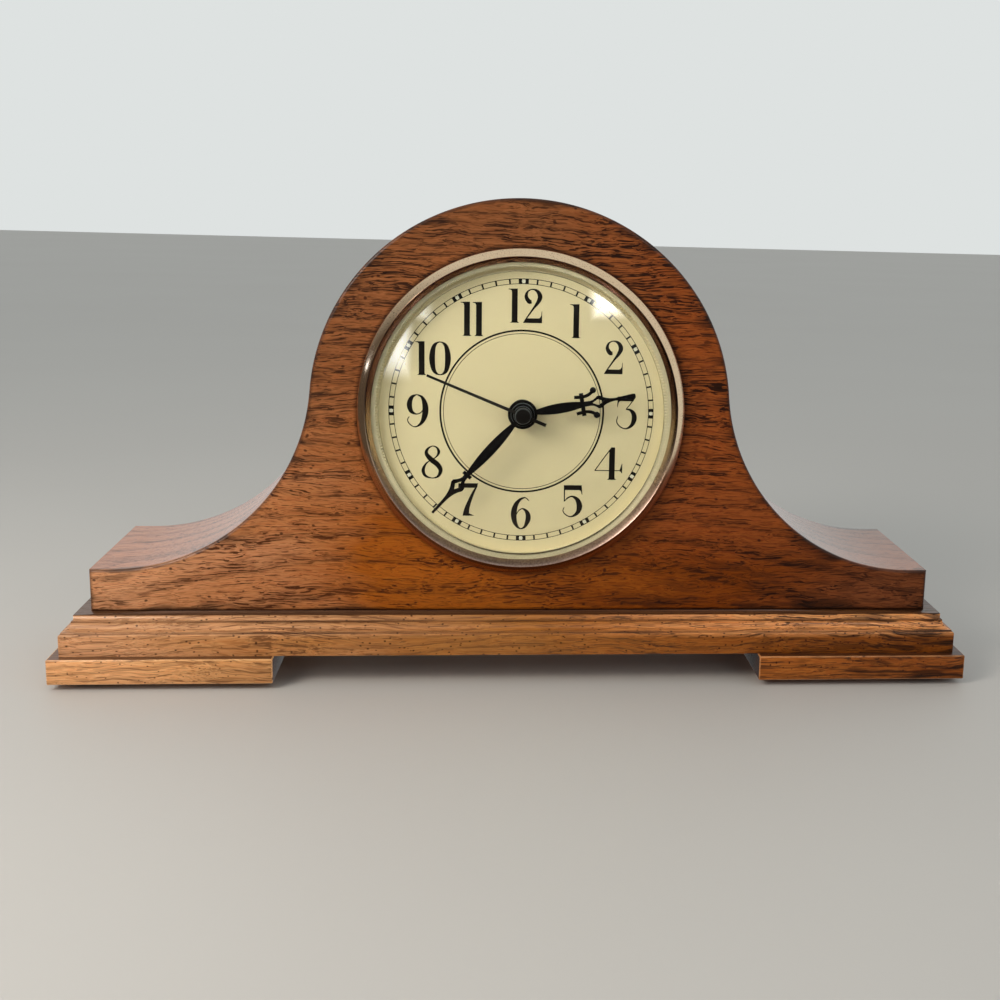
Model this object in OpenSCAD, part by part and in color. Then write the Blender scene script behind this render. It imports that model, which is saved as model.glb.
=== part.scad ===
// Wooden mantel clock: an arched oak case on a coved plinth with two block feet,
// and a round brass-framed clock insert with a battery quartz movement.
// X runs to the right seen from the front, Y to the back, Z up.
// The origin is the middle of the footprint, on the surface the clock stands on.

/* [Case] */
// Width of the case body across both shoulders
body_w = 334; // [326:1:350]
// Depth of the case body from front to back
body_depth = 76; // [66:1:90]
// Radius of the arch over the dial
arch_r = 82; // [79:0.5:85]
// Radius of the hollow sweep between the arch and each shoulder
sweep_r = 78; // [74:0.5:80]
// Height of the dial centre above the underside of the body
dial_rise = 80.2; // [77:0.2:84]
// Height of the flat shoulders above the underside of the body
shoulder_h = 16.7; // [14:0.1:20]

/* [Base] */
// Height of the whole plinth
plinth_h = 15.3; // [14.3:0.1:17]
// Reach of the plinth's top edge beyond the body, at the front and both ends
plinth_top_reach = 5.2; // [4.4:0.1:5.6]
// Reach of the plinth's lower band beyond the body
plinth_band_reach = 10; // [9.8:0.1:12]
// Height of the plinth's lower band
band_h = 8.8; // [8:0.1:9.4]
// Radius of the rounded top edge of the band
band_round = 0.8; // [0.4:0.1:1.2]
// Radius of the cove above the band
cove_r = 3.2; // [2.6:0.1:3.4]
// Height of the small quirk between the cove and the top edge
quirk_h = 0.3; // [0.2:0.05:0.6]
// Reach of each foot beyond the body, at the front and the ends
foot_reach = 14; // [13.5:0.5:18]
// Width of each foot
foot_w = 85; // [70:0.2:100]
// Height of each foot
foot_h = 10; // [7:0.5:14]
// Diameter of the pads under the feet
pad_d = 14; // [8:0.5:20]
// Height of the pads under the feet
pad_h = 2.5; // [1.5:0.1:4]
// Distance from a foot's edges to the middle of a pad
pad_inset = 14; // [11:0.5:18]

/* [Screws] */
// Shank diameter of the wood screws
screw_d = 4; // [3:0.1:5]
// Head diameter of the wood screws
screw_head_d = 8; // [6.5:0.1:9]
// Length of the screws that hold the body to the plinth
case_screw_len = 42; // [30:1:50]
// Length of the screws that hold each foot to the plinth
foot_screw_len = 20; // [16:0.5:23]

/* [Clock insert] */
// Outer diameter of the bezel
bezel_d = 127; // [126:0.2:130]
// Width of the bezel's flange over the wood, from the bore's wall to its outer edge
flange_w = 3.5; // [3.4:0.05:3.9]
// Width of the bezel's outer facet, from its outer edge to the ridge
outer_facet_w = 3; // [2.6:0.1:3.3]
// Height of that ridge in front of the case
ridge_h = 6; // [5.6:0.1:6.4]
// Width of the bezel's inner facet, from the ridge to the lip
inner_facet_w = 2.3; // [2.2:0.05:2.5]
// Height of the bezel's lip in front of the case
lip_h = 3.2; // [3.1:0.05:3.5]
// Thickness of the bezel's outer edge against the wood
bezel_edge = 3; // [0.3:0.1:4]
// Depth of the dial behind the front of the case
dial_inset = 3; // [2.6:0.1:3.2]
// Thickness of the dial
dial_t = 0.6; // [0.4:0.1:0.8]
// Thickness of the crystal
crystal_t = 1.4; // [1.2:0.05:1.6]
// Width of the crystal's bevel, from the lip to the crease where the dome begins
bevel_w = 3.3; // [3:0.1:3.7]
// Height of that crease in front of the case
crease_h = 6.6; // [6.4:0.1:7]
// Height of the crystal's crown in front of the case
crown_h = 13.4; // [13:0.1:13.8]
// Depth of the insert's back can behind the case front
can_depth = 19.5; // [19:0.1:20]
// Wall thickness of the back can
can_wall = 1.6; // [1.2:0.1:2]
// Width of the rubber grip band round the can
grip_w = 6; // [4:0.5:7]

/* [Hands] */
// Length of the hour hand from its axis
hour_len = 44.4; // [40:0.2:46]
// Length of the minute hand from its axis
minute_len = 52; // [46:0.2:52.4]
// Length of the second hand from its axis
second_len = 39.6; // [36:0.2:46]
// Length of the second hand's tail
second_tail = 9.7; // [7:0.1:12]
// Thickness of the hour and minute hands
hand_t = 0.4; // [0.3:0.05:0.5]
// Direction of the hour hand, in degrees clockwise from twelve
hour_angle = 79.8; // [0:0.1:360]
// Direction of the minute hand, in degrees clockwise from twelve
minute_angle = 221.8; // [0:0.1:360]
// Direction of the second hand, in degrees clockwise from twelve
second_angle = 292.3; // [0:0.1:360]

/* [Movement] */
// Width and height of the movement's case
movement_w = 56; // [55:0.5:57]
// Thickness of the movement's case
movement_t = 16; // [15.8:0.1:16.4]
// Wall thickness of the movement's case
movement_wall = 1.4; // [1.2:0.05:1.5]
// Diameter of the AA battery
battery_d = 14.2; // [13.8:0.1:14.4]
// Length of the AA battery with its button
battery_len = 50.5; // [49.5:0.1:50.8]
// Distance between neighbouring arbors in the gear trains
arbor_gap = 7.6; // [7.55:0.01:7.65]
// Diameter of the second hand's arbor
arbor_d = 1; // [0.9:0.02:1.04]
// Outer diameter of the threaded bushing
bushing_d = 8; // [7.8:0.1:8.4]
// Running clearance on each side of a turning part
run_gap = 0.06; // [0.04:0.01:0.08]

/* [Hidden] */
$fn = 120;

// Colours
oak = "#9A5E2E";
oak_base = "#B57E48";
steel = "#B8BBBE";
brass = "#D2AE7C";
cream = "#D8CE9F";
black = "#17171A";
red_brass = "#C08A4A";
green = "#2F6B45";
copper = "#B46A3C";
clear_glass = [0.85, 0.9, 0.92, 0.35];

// Where the case stands in the frame
foot_depth = body_depth + foot_reach;
front_y = foot_reach - foot_depth / 2;
back_y = foot_depth / 2;
foot_top = pad_h + foot_h;
body_z = foot_top + plinth_h;
dial_z = body_z + dial_rise;
foot_x = body_w / 2 + foot_reach - foot_w / 2;

// The sweep's centre is one sweep radius above the shoulder and touches the arch
sweep_z = shoulder_h + sweep_r;
sweep_tilt = asin((sweep_z - dial_rise) / (arch_r + sweep_r));
sweep_x = (arch_r + sweep_r) * cos(sweep_tilt);

// Screw places: two rows across the plinth, two along each foot
case_screw_x = body_w * 0.18;
case_screw_y = body_depth * 0.28;
foot_screw_y = body_depth * 0.3;
screw_head_h = screw_head_d * 0.32;
screw_sink = screw_head_d * 0.05;
screw_land = screw_head_d * 0.06;

// The insert's circles, each from the one outside it
bore_d = bezel_d - 2 * flange_w;
ridge_d = bezel_d - 2 * outer_facet_w;
lip_d = ridge_d - 2 * inner_facet_w;
crease_d = lip_d - 2 * bevel_w;

// Places inside the insert, measured forward from the case front
crystal_back = lip_h - crystal_t - crystal_t * 0.4;
crystal_rim = crystal_back + crystal_t;
rim_d = bore_d - crystal_t * 1.1;
skirt_d = bore_d - crystal_t * 0.15;
skirt_len = dial_inset * 2;
dial_back = dial_inset + dial_t;
gasket_t = dial_t * 0.8;
movement_front = dial_back + gasket_t;
crown_rise = crown_h - crease_h;
crown_r = (pow(crease_d / 2, 2) + pow(crown_rise, 2)) / (2 * crown_rise);
grip_front = skirt_len + grip_w * 0.5;
grip_t = can_wall * 0.5;

// The hands' levels in front of the case
hour_level = ridge_h * 0.57;
minute_level = ridge_h * 0.82;
second_level = ridge_h * 1.1;
cap_level = ridge_h * 1.55;

// Gear trains: levels are depths behind the movement's front face
gear_t = movement_t / 16;
level_gap = movement_t / 8;
first_level = movement_wall + gear_t * 0.5;
pinion_t = gear_t * 1.2;
plate_level = first_level + level_gap * 6;
plate_t = gear_t * 0.8;
cover_t = movement_t - plate_level - plate_t - gear_t * 0.1;
pivot_d = arbor_d * 0.6;
thin_arbor_d = arbor_d * 0.8;
pivot_depth = movement_wall * 0.5;
pipe_wall = arbor_d * 0.75;
minute_bore = arbor_d + 2 * run_gap;
minute_d = minute_bore + 2 * pipe_wall;
hour_bore = minute_d + 2 * run_gap;
hour_d = hour_bore + 2 * pipe_wall;
bushing_bore = hour_d + 2 * run_gap;
bushing_out = dial_inset * 0.35;

// Tooth counts
cannon_teeth = 16;
motion_teeth = 32;
motion_pinion_teeth = 8;
hour_teeth = 48;
set_teeth = 16;
seconds_pinion_teeth = 8;
third_teeth = 64;
third_pinion_teeth = 8;
centre_teeth = 60;
seconds_teeth = 48;
fifth_pinion_teeth = 8;
fifth_teeth = 40;
rotor_teeth = 8;

// Module of each meshing pair, from the distance between its arbors
cannon_m = 2 * arbor_gap / (cannon_teeth + motion_teeth);
hour_m = 2 * arbor_gap / (motion_pinion_teeth + hour_teeth);
third_m = 2 * arbor_gap / (seconds_pinion_teeth + third_teeth);
centre_m = 2 * arbor_gap / (third_pinion_teeth + centre_teeth);
seconds_m = 2 * arbor_gap / (seconds_teeth + fifth_pinion_teeth);
rotor_gap = arbor_gap * 0.7;
rotor_m = 2 * rotor_gap / (fifth_teeth + rotor_teeth);

// Arbor places round the hand arbor, seen from the front
motion_dir = 0;
set_dir = 32;
third_dir = 150;
fifth_dir = 60;
rotor_dir = 100;
motion_at = arbor_gap * [cos(motion_dir), sin(motion_dir)];
set_at = motion_at + arbor_gap * [cos(set_dir), sin(set_dir)];
third_at = arbor_gap * [cos(third_dir), sin(third_dir)];
fifth_at = arbor_gap * [cos(fifth_dir), sin(fifth_dir)];
rotor_at = fifth_at + rotor_gap * [cos(rotor_dir), sin(rotor_dir)];

// Tooth proportions, as shares of the module or of the tooth
addendum_share = 0.8;
dedendum_share = 1.3;
backlash_share = 0.14;
pressure_angle = 20;

// Battery bay along the bottom of the movement
bay_top = -movement_w / 2 + movement_wall + battery_d + movement_wall * 0.7;
battery_z = -movement_w / 2 + movement_wall + battery_d / 2 + movement_wall * 0.25;
battery_depth = movement_wall + battery_d / 2 + movement_wall * 0.1;
bay_half = movement_w / 2 - movement_wall;
button_d = battery_d * 0.38;
button_len = battery_len * 0.03;
contact_t = movement_wall * 0.25;

// Motor: the coil lies across the top, the stator reaches down to the rotor
magnet_d = arbor_gap * 0.62;
magnet_t = gear_t * 2.4;
magnet_level = first_level + level_gap * 2.8;
stator_t = gear_t * 0.8;
stator_level = magnet_level + magnet_t / 2 - stator_t / 2;
stator_ring_d = magnet_d + arbor_gap * 0.5;
coil_z = movement_w * 0.365;
coil_len = movement_w * 0.32;
coil_d = movement_w * 0.115;
core_w = movement_w * 0.04;
leg_w = movement_w * 0.06;
leg_boss_d = leg_w * 1.1;
board_t = gear_t * 0.8;
board_level = first_level + level_gap * 5.6;
board_w = movement_w * 0.19;
board_h = movement_w * 0.56;
board_at = [-movement_w * 0.365, movement_w * 0.115];
quartz_d = board_t * 2.4;
quartz_len = movement_w * 0.13;
post_d = movement_wall * 2;
board_foot_z = board_at[1] - board_h / 2;
lead_z = bay_top + movement_wall;

// Posts that carry the train plate and the board, seen from the front
plate_posts = movement_w * [[-0.2, -0.12], [0.36, -0.1], [0.3, 0.2]];
board_posts = [for (s = [-1, 1]) board_at + [-board_w * 0.25, s * board_h * 0.43]];

// Set knob's shaft and its front pivot
set_shaft_d = arbor_d * 2.6;
set_tip_d = arbor_d * 1.4;

// Hand shapes: distances along and half widths, as shares of the hand's length
hour_hub_share = 0.129;
minute_hub_share = 0.084;
hour_leaf_shares = [0.33, 0.285, 0.045];
minute_leaf_shares = [0.35, 0.335, 0.0385];
hour_tip_shares = [[0.5, 0.024], [0.6, 0.022], [0.63, 0.022], [0.665, 0.055], [0.69, 0.055],
    [0.745, 0.014], [0.82, 0.0125], [0.98, 0.024], [1, 0.019]];
minute_tip_shares = [[0.55, 0.0185], [0.645, 0.018], [0.67, 0.018], [0.706, 0.055],
    [0.73, 0.055], [0.775, 0.018], [0.865, 0.0125], [1, 0.0095]];
hour_diamond_shares = [0.668, 0.05, 0.026];
minute_diamond_shares = [0.718, 0.038, 0.023];
hour_bar_shares = [0.53, 0.0185, 0.101];
minute_bar_shares = [0.612, 0.014, 0.037];
scroll_share = 0.0145;
scroll_shares = [[0.466, 0.074], [0.53, 0.066], [0.59, 0.055], [0.638, 0.11]];
scroll_ball_share = 0.028;
curve_steps = 6;
scroll_steps = 10;
second_w = hand_t * 2.4;
second_tip_w = hand_t * 1.2;
second_t = hand_t * 0.8;
cap_d = hour_len * 0.14;

// End of the coil's core, on the left or the right
function core_end(s) = [rotor_at[0] + s * (coil_len / 2 + leg_w), coil_z];

// Moves from the insert's own axes to the clock: x right, y up, z out of the dial
module on_dial() {
    translate([0, front_y, dial_z]) rotate([90, 0, 0]) children();
}

// Moves to the movement's front face, with z running back into the movement
module in_movement(depth = 0) {
    on_dial() translate([0, 0, -movement_front - depth]) children();
}

// A flat layer that starts at a depth in the movement and runs back
module layer(depth, thickness, at = [0, 0]) {
    in_movement(depth + thickness) translate(concat(at, [0])) linear_extrude(thickness) children();
}

// A round bar that runs back from a depth in the movement
module bar(depth, length, d, at = [0, 0]) {
    in_movement(depth + length) translate(concat(at, [0])) cylinder(h = length, d = d);
}

// A rectangle with rounded corners, centred
module rounded_rect(size, r) {
    square([size[0] - 2 * r, size[1]], center = true);
    square([size[0], size[1] - 2 * r], center = true);
    for (sx = [-1, 1], sy = [-1, 1])
        translate([sx * (size[0] / 2 - r), sy * (size[1] / 2 - r)]) circle(r);
}

function polar(r, a) = r * [cos(a), sin(a)];

// Involute of a base circle at radius r, in degrees
function involute(base, r) =
    let (t = sqrt(max(0, pow(r / base, 2) - 1))) t * 180 / PI - atan(t);

// Points of one gear: n teeth of module m, first tooth at angle start
function gear_points(n, m, start) =
    let (
        pitch = n * m / 2,
        base = pitch * cos(pressure_angle),
        root = pitch - dedendum_share * m,
        tip = pitch + addendum_share * m,
        low = max(base, root),
        half = 90 / n * (1 - backlash_share) + involute(base, pitch),
        flank = [low, (low + tip) / 2, tip]
    )
    [for (i = [0:n - 1]) let (mid = start + i * 360 / n)
        each concat(
            [polar(root, mid - half + involute(base, low))],
            [for (r = flank) polar(r, mid - half + involute(base, r))],
            [for (k = [2:-1:0]) polar(flank[k], mid + half - involute(base, flank[k]))],
            [polar(root, mid + half - involute(base, low))]
        )];

// First-tooth angle of a gear of nb teeth, in direction dir from one of na teeth at angle a
function meshed(a, na, nb, dir) = dir + 180 - 360 / nb * (0.5 - (dir - a) * na / 360);

// A toothed wheel in a layer of the movement
module gear(depth, n, m, at, start, thickness = gear_t) {
    layer(depth, thickness, at) polygon(gear_points(n, m, start));
}

// Angles of the first teeth, so that every pair stands in mesh
cannon_start = 90 - minute_angle;
motion_start = meshed(cannon_start, cannon_teeth, motion_teeth, motion_dir);
hour_start = meshed(motion_start, motion_pinion_teeth, hour_teeth, motion_dir + 180);
set_start = meshed(motion_start, motion_teeth, set_teeth, set_dir);
seconds_start = 90 - second_angle;
third_start = meshed(seconds_start, seconds_pinion_teeth, third_teeth, third_dir);
centre_start = meshed(third_start, third_pinion_teeth, centre_teeth, third_dir + 180);
fifth_start = meshed(seconds_start, seconds_teeth, fifth_pinion_teeth, fifth_dir);
rotor_start = meshed(fifth_start, fifth_teeth, rotor_teeth, rotor_dir);

// Levels of the trains, from the front back
hour_depth = first_level;
motion_depth = first_level + level_gap;
centre_depth = first_level + level_gap * 2;
third_depth = first_level + level_gap * 3;
seconds_depth = first_level + level_gap * 4;
fifth_depth = first_level + level_gap * 5;
pinion_lead = (pinion_t - gear_t) / 2;

// Arbor with two thin pivots that run in the case front and the train plate
module pivoted_arbor(at) {
    bar(movement_wall + run_gap, plate_level - movement_wall - 2 * run_gap, thin_arbor_d, at);
    bar(movement_wall - pivot_depth + run_gap, plate_level + plate_t - movement_wall
        + pivot_depth - run_gap, pivot_d, at);
}

// Case outline seen from the front, standing on its underside
module case_outline() {
    difference() {
        polygon([[-sweep_x, 0], [sweep_x, 0], [sweep_x, sweep_z], [0, dial_rise],
            [-sweep_x, sweep_z]]);
        for (s = [-1, 1]) translate([s * sweep_x, sweep_z]) circle(sweep_r);
    }
    intersection() {
        translate([0, dial_rise]) circle(arch_r);
        translate([-arch_r, 0]) square([2 * arch_r, dial_rise + 2 * arch_r]);
    }
    translate([-body_w / 2, 0]) square([body_w, shoulder_h]);
}

// A countersunk wood screw that points up, with its head's face at z = 0
module wood_screw(length) {
    cylinder(h = screw_land, d = screw_head_d);
    translate([0, 0, screw_land])
        cylinder(h = screw_head_h, d1 = screw_head_d, d2 = screw_d);
    cylinder(h = length, d = screw_d);
}

// The hole that a screw leaves, open below
module screw_hole(length) {
    wood_screw(length);
    translate([0, 0, -screw_sink]) cylinder(h = screw_sink + screw_land, d = screw_head_d);
}

module at_case_screws() {
    for (sx = [-1, 1], sy = [-1, 1])
        translate([sx * case_screw_x, front_y + body_depth / 2 + sy * case_screw_y,
            foot_top + screw_sink]) children();
}

module at_foot_screws(side) {
    for (sy = [-1, 1])
        translate([side * foot_x, front_y + body_depth / 2 + sy * foot_screw_y,
            pad_h + screw_sink]) children();
}

// Solid oak body with the round bore through it
module case_body() {
    color(oak) difference() {
        translate([0, back_y, body_z]) rotate([90, 0, 0])
            linear_extrude(body_depth) case_outline();
        translate([0, back_y + body_depth / 2, dial_z]) rotate([90, 0, 0])
            cylinder(h = 2 * body_depth, d = bore_d);
        at_case_screws() wood_screw(case_screw_len);
    }
}

// Plinth edge from the side: band, rounded edge, cove, quirk and top edge
module plinth_edge(reach_to) {
    cove_top = band_h + band_round * 0.75 + cove_r;
    lip = plinth_band_reach - band_round;
    translate([-reach_to, 0]) {
        square([reach_to + plinth_band_reach, band_h - band_round]);
        square([reach_to + lip, band_h]);
        difference() {
            square([reach_to + lip, cove_top]);
            translate([reach_to + lip, cove_top]) circle(cove_r);
        }
        square([reach_to + lip - cove_r, cove_top + quirk_h]);
        square([reach_to + plinth_top_reach, plinth_h]);
    }
    translate([lip, band_h - band_round]) circle(band_round);
}

// Coved plinth board, moulded along the front and mitred round both ends
module plinth() {
    color(oak_base) difference() {
        intersection() {
            translate([-body_w, front_y, foot_top]) rotate([90, 0, 90])
                linear_extrude(2 * body_w) mirror([1, 0]) plinth_edge(body_depth);
            translate([0, back_y, foot_top]) rotate([90, 0, 0])
                linear_extrude(2 * body_depth) for (s = [0, 1])
                    mirror([s, 0]) translate([body_w / 2, 0]) plinth_edge(body_w / 2);
        }
        at_case_screws() screw_hole(case_screw_len);
        for (s = [-1, 1]) at_foot_screws(s) wood_screw(foot_screw_len);
    }
}

module foot(side) {
    color(oak_base) difference() {
        translate([side * foot_x - foot_w / 2, front_y - foot_reach, pad_h])
            cube([foot_w, foot_depth, foot_h]);
        at_foot_screws(side) screw_hole(foot_screw_len);
    }
}

module left_foot() {
    foot(-1);
}

module right_foot() {
    foot(1);
}

// Two pads under each foot
module foot_pads() {
    color(black) for (sx = [-1, 1], y = [front_y - foot_reach + pad_inset, back_y - pad_inset])
        translate([sx * (foot_x + foot_w / 2 - pad_inset), y, 0]) cylinder(h = pad_h, d = pad_d);
}

module case_screws() {
    color(steel) at_case_screws() wood_screw(case_screw_len);
}

module foot_screws() {
    color(steel) for (s = [-1, 1]) at_foot_screws(s) wood_screw(foot_screw_len);
}

// Brass bezel: a straight edge, two facets that meet in a ridge, and a skirt that enters the bore
module bezel() {
    color(brass) on_dial() rotate_extrude() polygon([
        [skirt_d / 2, -skirt_len], [skirt_d / 2, 0], [bezel_d / 2, 0],
        [bezel_d / 2, bezel_edge], [ridge_d / 2, ridge_h], [lip_d / 2, lip_h],
        [lip_d / 2, crystal_rim], [rim_d / 2, crystal_rim], [rim_d / 2, -skirt_len]]);
}

// Half outline of the crystal's outer form, or with a shrink that of its hollow
module crystal_side(shrink) {
    foot = [lip_d / 2 - run_gap - shrink, crystal_rim - shrink];
    crease = [crease_d / 2 - shrink / 2, crease_h - shrink];
    rim = shrink > 0 ? [] : [[rim_d / 2, crystal_back], [rim_d / 2, crystal_rim]];
    intersection() {
        translate([0, crown_h - crown_r]) circle(crown_r - shrink, $fn = 720);
        polygon(concat([[0, crystal_back]], rim, [foot, 2 * crease - foot, [0, 2 * crown_h]]));
    }
}

// Bevelled and domed crystal with a flat rim under the bezel's lip
module crystal() {
    color(clear_glass) on_dial() rotate_extrude() difference() {
        crystal_side(0);
        crystal_side(crystal_t);
    }
}

// Cream ring that spaces the crystal off the dial
module dial_ring() {
    ring_in = crease_d / 2 + dial_inset * 0.4;
    color(cream) on_dial() rotate_extrude() polygon([
        [ring_in, -dial_inset], [rim_d / 2, -dial_inset], [rim_d / 2, crystal_back],
        [lip_d / 2 - dial_inset * 0.4, crystal_back]]);
}

module dial() {
    color(cream) on_dial() translate([0, 0, -dial_back]) linear_extrude(dial_t)
        difference() {
            circle(d = rim_d);
            circle(d = bushing_d);
        }
}

// Back can: round wall, a groove for the grip band and a back with a square opening
module insert_can() {
    opening = movement_w + can_wall / 2;
    color(black) on_dial() difference() {
        rotate_extrude() polygon([
            [0, -can_depth], [rim_d / 2, -can_depth], [rim_d / 2, -grip_front - grip_w],
            [rim_d / 2 - grip_t, -grip_front - grip_w], [rim_d / 2 - grip_t, -grip_front],
            [rim_d / 2, -grip_front], [rim_d / 2, -dial_back],
            [rim_d / 2 - 1.8 * can_wall, -dial_back], [rim_d / 2 - 1.8 * can_wall,
            can_wall - can_depth], [0, can_wall - can_depth]]);
        translate([-opening / 2, -opening / 2, -2 * can_depth])
            cube([opening, opening, 2 * can_depth]);
    }
}

// Rubber band in the can's groove, which holds the insert in the bore
module grip_band() {
    color(black) on_dial() translate([0, 0, -grip_front - grip_w]) linear_extrude(grip_w)
        difference() {
            circle(d = bore_d - run_gap);
            circle(d = rim_d - 2 * grip_t);
        }
}

module dial_gasket() {
    color(black) on_dial() translate([0, 0, -movement_front]) linear_extrude(gasket_t)
        difference() {
            circle(d = bushing_d * 2);
            circle(d = bushing_d);
        }
}

// Round nut with four spanner slots, which clamps the dial to the movement
module dial_nut() {
    nut_t = bushing_d * 0.28;
    nut_d = bushing_d * 1.25;
    color(brass) on_dial() translate([0, 0, -dial_inset]) difference() {
        cylinder(h = nut_t, d = nut_d);
        cylinder(h = nut_t, d = bushing_d);
        for (i = [0:3]) rotate(i * 90) translate([nut_d / 2, 0, nut_t])
            cube([(nut_d - bushing_d) * 0.6, bushing_d * 0.15, nut_t], center = true);
    }
}

// Brass bushing in the movement's front, with a collar behind the front wall
module shaft_bushing() {
    collar_t = (first_level - movement_wall) / 2;
    color(brass) difference() {
        union() {
            on_dial() translate([0, 0, -movement_front - movement_wall])
                cylinder(h = movement_front + movement_wall + bushing_out, d = bushing_d);
            bar(movement_wall, collar_t, bushing_d * 1.3);
        }
        on_dial() translate([0, 0, -movement_t])
            cylinder(h = 2 * movement_t, d = bushing_bore);
    }
}

// Front shell of the movement with its bay wall, bearing holes and posts
module movement_case() {
    corner = movement_wall * 2;
    wall_depth = movement_t - cover_t;
    color(black) difference() {
        union() {
            layer(0, movement_wall) rounded_rect([movement_w, movement_w], corner);
            layer(0, wall_depth) difference() {
                rounded_rect([movement_w, movement_w], corner);
                rounded_rect([movement_w, movement_w] - 2 * movement_wall * [1, 1], corner / 2);
            }
            layer(0, wall_depth) translate([contact_t - bay_half, bay_top])
                square([2 * (bay_half - contact_t), movement_wall]);
            for (p = plate_posts) bar(0, plate_level, post_d, p);
            for (p = board_posts) bar(0, board_level, post_d, p);
            for (s = [-1, 1]) bar(0, stator_level, post_d, core_end(s));
        }
        bar(-gear_t, movement_t, bushing_d);
        for (at = [motion_at, third_at, fifth_at, rotor_at])
            bar(movement_wall - pivot_depth, pivot_depth, pivot_d + 2 * run_gap, at);
        bar(movement_wall - pivot_depth, pivot_depth, set_tip_d + 2 * run_gap, set_at);
    }
}

// Flat cover with the battery opening and the hole for the set knob
module movement_cover() {
    color(black) difference() {
        layer(movement_t - cover_t, cover_t)
            rounded_rect([movement_w, movement_w], movement_wall * 2);
        layer(0, 2 * movement_t) translate([-bay_half, -movement_w / 2 + movement_wall])
            square([2 * bay_half, bay_top + movement_w / 2 - movement_wall]);
        bar(0, 2 * movement_t, set_shaft_d + 2 * run_gap, set_at);
    }
}

// Plate that carries the rear ends of the arbors
module train_plate() {
    lobe = post_d * 1.3;
    color(cream) difference() {
        layer(plate_level, plate_t) union() {
            for (p = plate_posts) translate(p) circle(d = lobe);
            polygon([for (p = plate_posts) p]);
            translate((fifth_at + rotor_at) / 2) circle(d = arbor_gap * 1.5);
            translate(third_at) circle(d = arbor_gap * 0.7);
            translate(set_at) circle(d = arbor_gap * 0.8);
            circle(d = arbor_gap * 1.6);
            polygon([third_at, plate_posts[0], [0, 0], fifth_at, rotor_at]);
        }
        for (at = [motion_at, third_at, fifth_at, rotor_at])
            bar(0, movement_t, pivot_d + 2 * run_gap, at);
        bar(0, movement_t, thin_arbor_d + 2 * run_gap);
        bar(0, movement_t, set_shaft_d + 2 * run_gap, set_at);
    }
}

// AA cell on its side, button to the right
module battery() {
    can_len = battery_len - button_len;
    color(copper) in_movement(battery_depth) translate([-battery_len / 2, battery_z, 0])
        rotate([0, 90, 0]) {
            cylinder(h = can_len, d = battery_d);
            cylinder(h = battery_len, d = button_d);
        }
}

// Leaf contact at one end of the battery, from the case wall to the cell's end
module contact_leaf(side) {
    leaf_h = battery_d * 0.6;
    reach = battery_len / 2;
    layer(movement_wall, battery_d * 0.9) {
        for (s = [-1, 1]) mirror([side < 0 ? 1 : 0, 0]) translate([0, battery_z]) polygon([
            [bay_half, s * leaf_h / 2], [reach, 0], [reach + 1.5 * contact_t, 0],
            [bay_half, s * (leaf_h / 2 - 2 * contact_t)]]);
        mirror([side < 0 ? 1 : 0, 0]) translate([bay_half - contact_t, battery_z])
            square([contact_t, lead_z + contact_t - battery_z]);
    }
}

// Positive contact, with a flat lead along the bay wall to the circuit board
module contact_plus() {
    lead_x = board_at[0] + board_w / 4;
    color(steel) {
        contact_leaf(1);
        layer(board_level - board_t, board_t) {
            translate([lead_x, lead_z]) square([bay_half - lead_x, contact_t]);
            translate([lead_x, lead_z])
                square([2 * contact_t, board_foot_z + contact_t - lead_z]);
        }
    }
}

module contact_minus() {
    color(steel) {
        contact_leaf(-1);
        layer(board_level - board_t, board_t) {
            translate([-bay_half, lead_z]) square([6 * contact_t, contact_t]);
            translate([5 * contact_t - bay_half, lead_z])
                square([2 * contact_t, board_foot_z + contact_t - lead_z]);
        }
    }
}

// Board with the sealed chip on its rear face
module circuit_board() {
    color(green) {
        layer(board_level, board_t) translate(board_at) square([board_w, board_h], center = true);
        bar(board_level, board_t * 1.6, board_w * 0.45, board_at);
    }
}

// Crystal oscillator can, soldered flat on the board's front face
module quartz_can() {
    at = board_at + [board_w * 0.22, board_h * 0.12];
    color(steel) in_movement(board_level - quartz_d / 2) translate(concat(at, [0]))
        rotate([-90, 0, 0]) cylinder(h = quartz_len, d = quartz_d);
}

// A straight strip between two places
module strip(a, b, w) {
    translate(a) rotate(atan2(b[1] - a[1], b[0] - a[0])) translate([0, -w / 2])
        square([norm(b - a), w]);
}

module coil_core() {
    color(steel) layer(stator_level + stator_t, stator_t) {
        strip(core_end(-1), core_end(1), core_w);
        for (s = [-1, 1]) translate(core_end(s)) circle(d = leg_w);
    }
}

// Wound coil with its two end cheeks, open for the core
module drive_coil() {
    cheek_t = coil_len * 0.06;
    color(copper) difference() {
        in_movement(stator_level + 1.5 * stator_t)
            translate([rotor_at[0] - coil_len / 2, coil_z, 0]) rotate([0, 90, 0]) {
                cylinder(h = coil_len, d = coil_d * 0.86);
                for (x = [0, coil_len - cheek_t]) translate([0, 0, x])
                    cylinder(h = cheek_t, d = coil_d);
            }
        layer(stator_level + stator_t, stator_t) strip(core_end(-1), core_end(1), core_w);
    }
}

// Soft iron plate: a ring round the rotor with a leg to each end of the core
module stator() {
    color(steel) layer(stator_level, stator_t) difference() {
        union() {
            translate(rotor_at) circle(d = stator_ring_d);
            for (s = [-1, 1]) {
                knee = [core_end(s)[0], rotor_at[1] + leg_w * 0.7];
                strip(rotor_at, knee, leg_w);
                strip(knee, core_end(s), leg_w);
                for (p = [knee, core_end(s)]) translate(p) circle(d = leg_boss_d);
            }
        }
        translate(rotor_at) circle(d = magnet_d + 2 * stator_t);
    }
}

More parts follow.
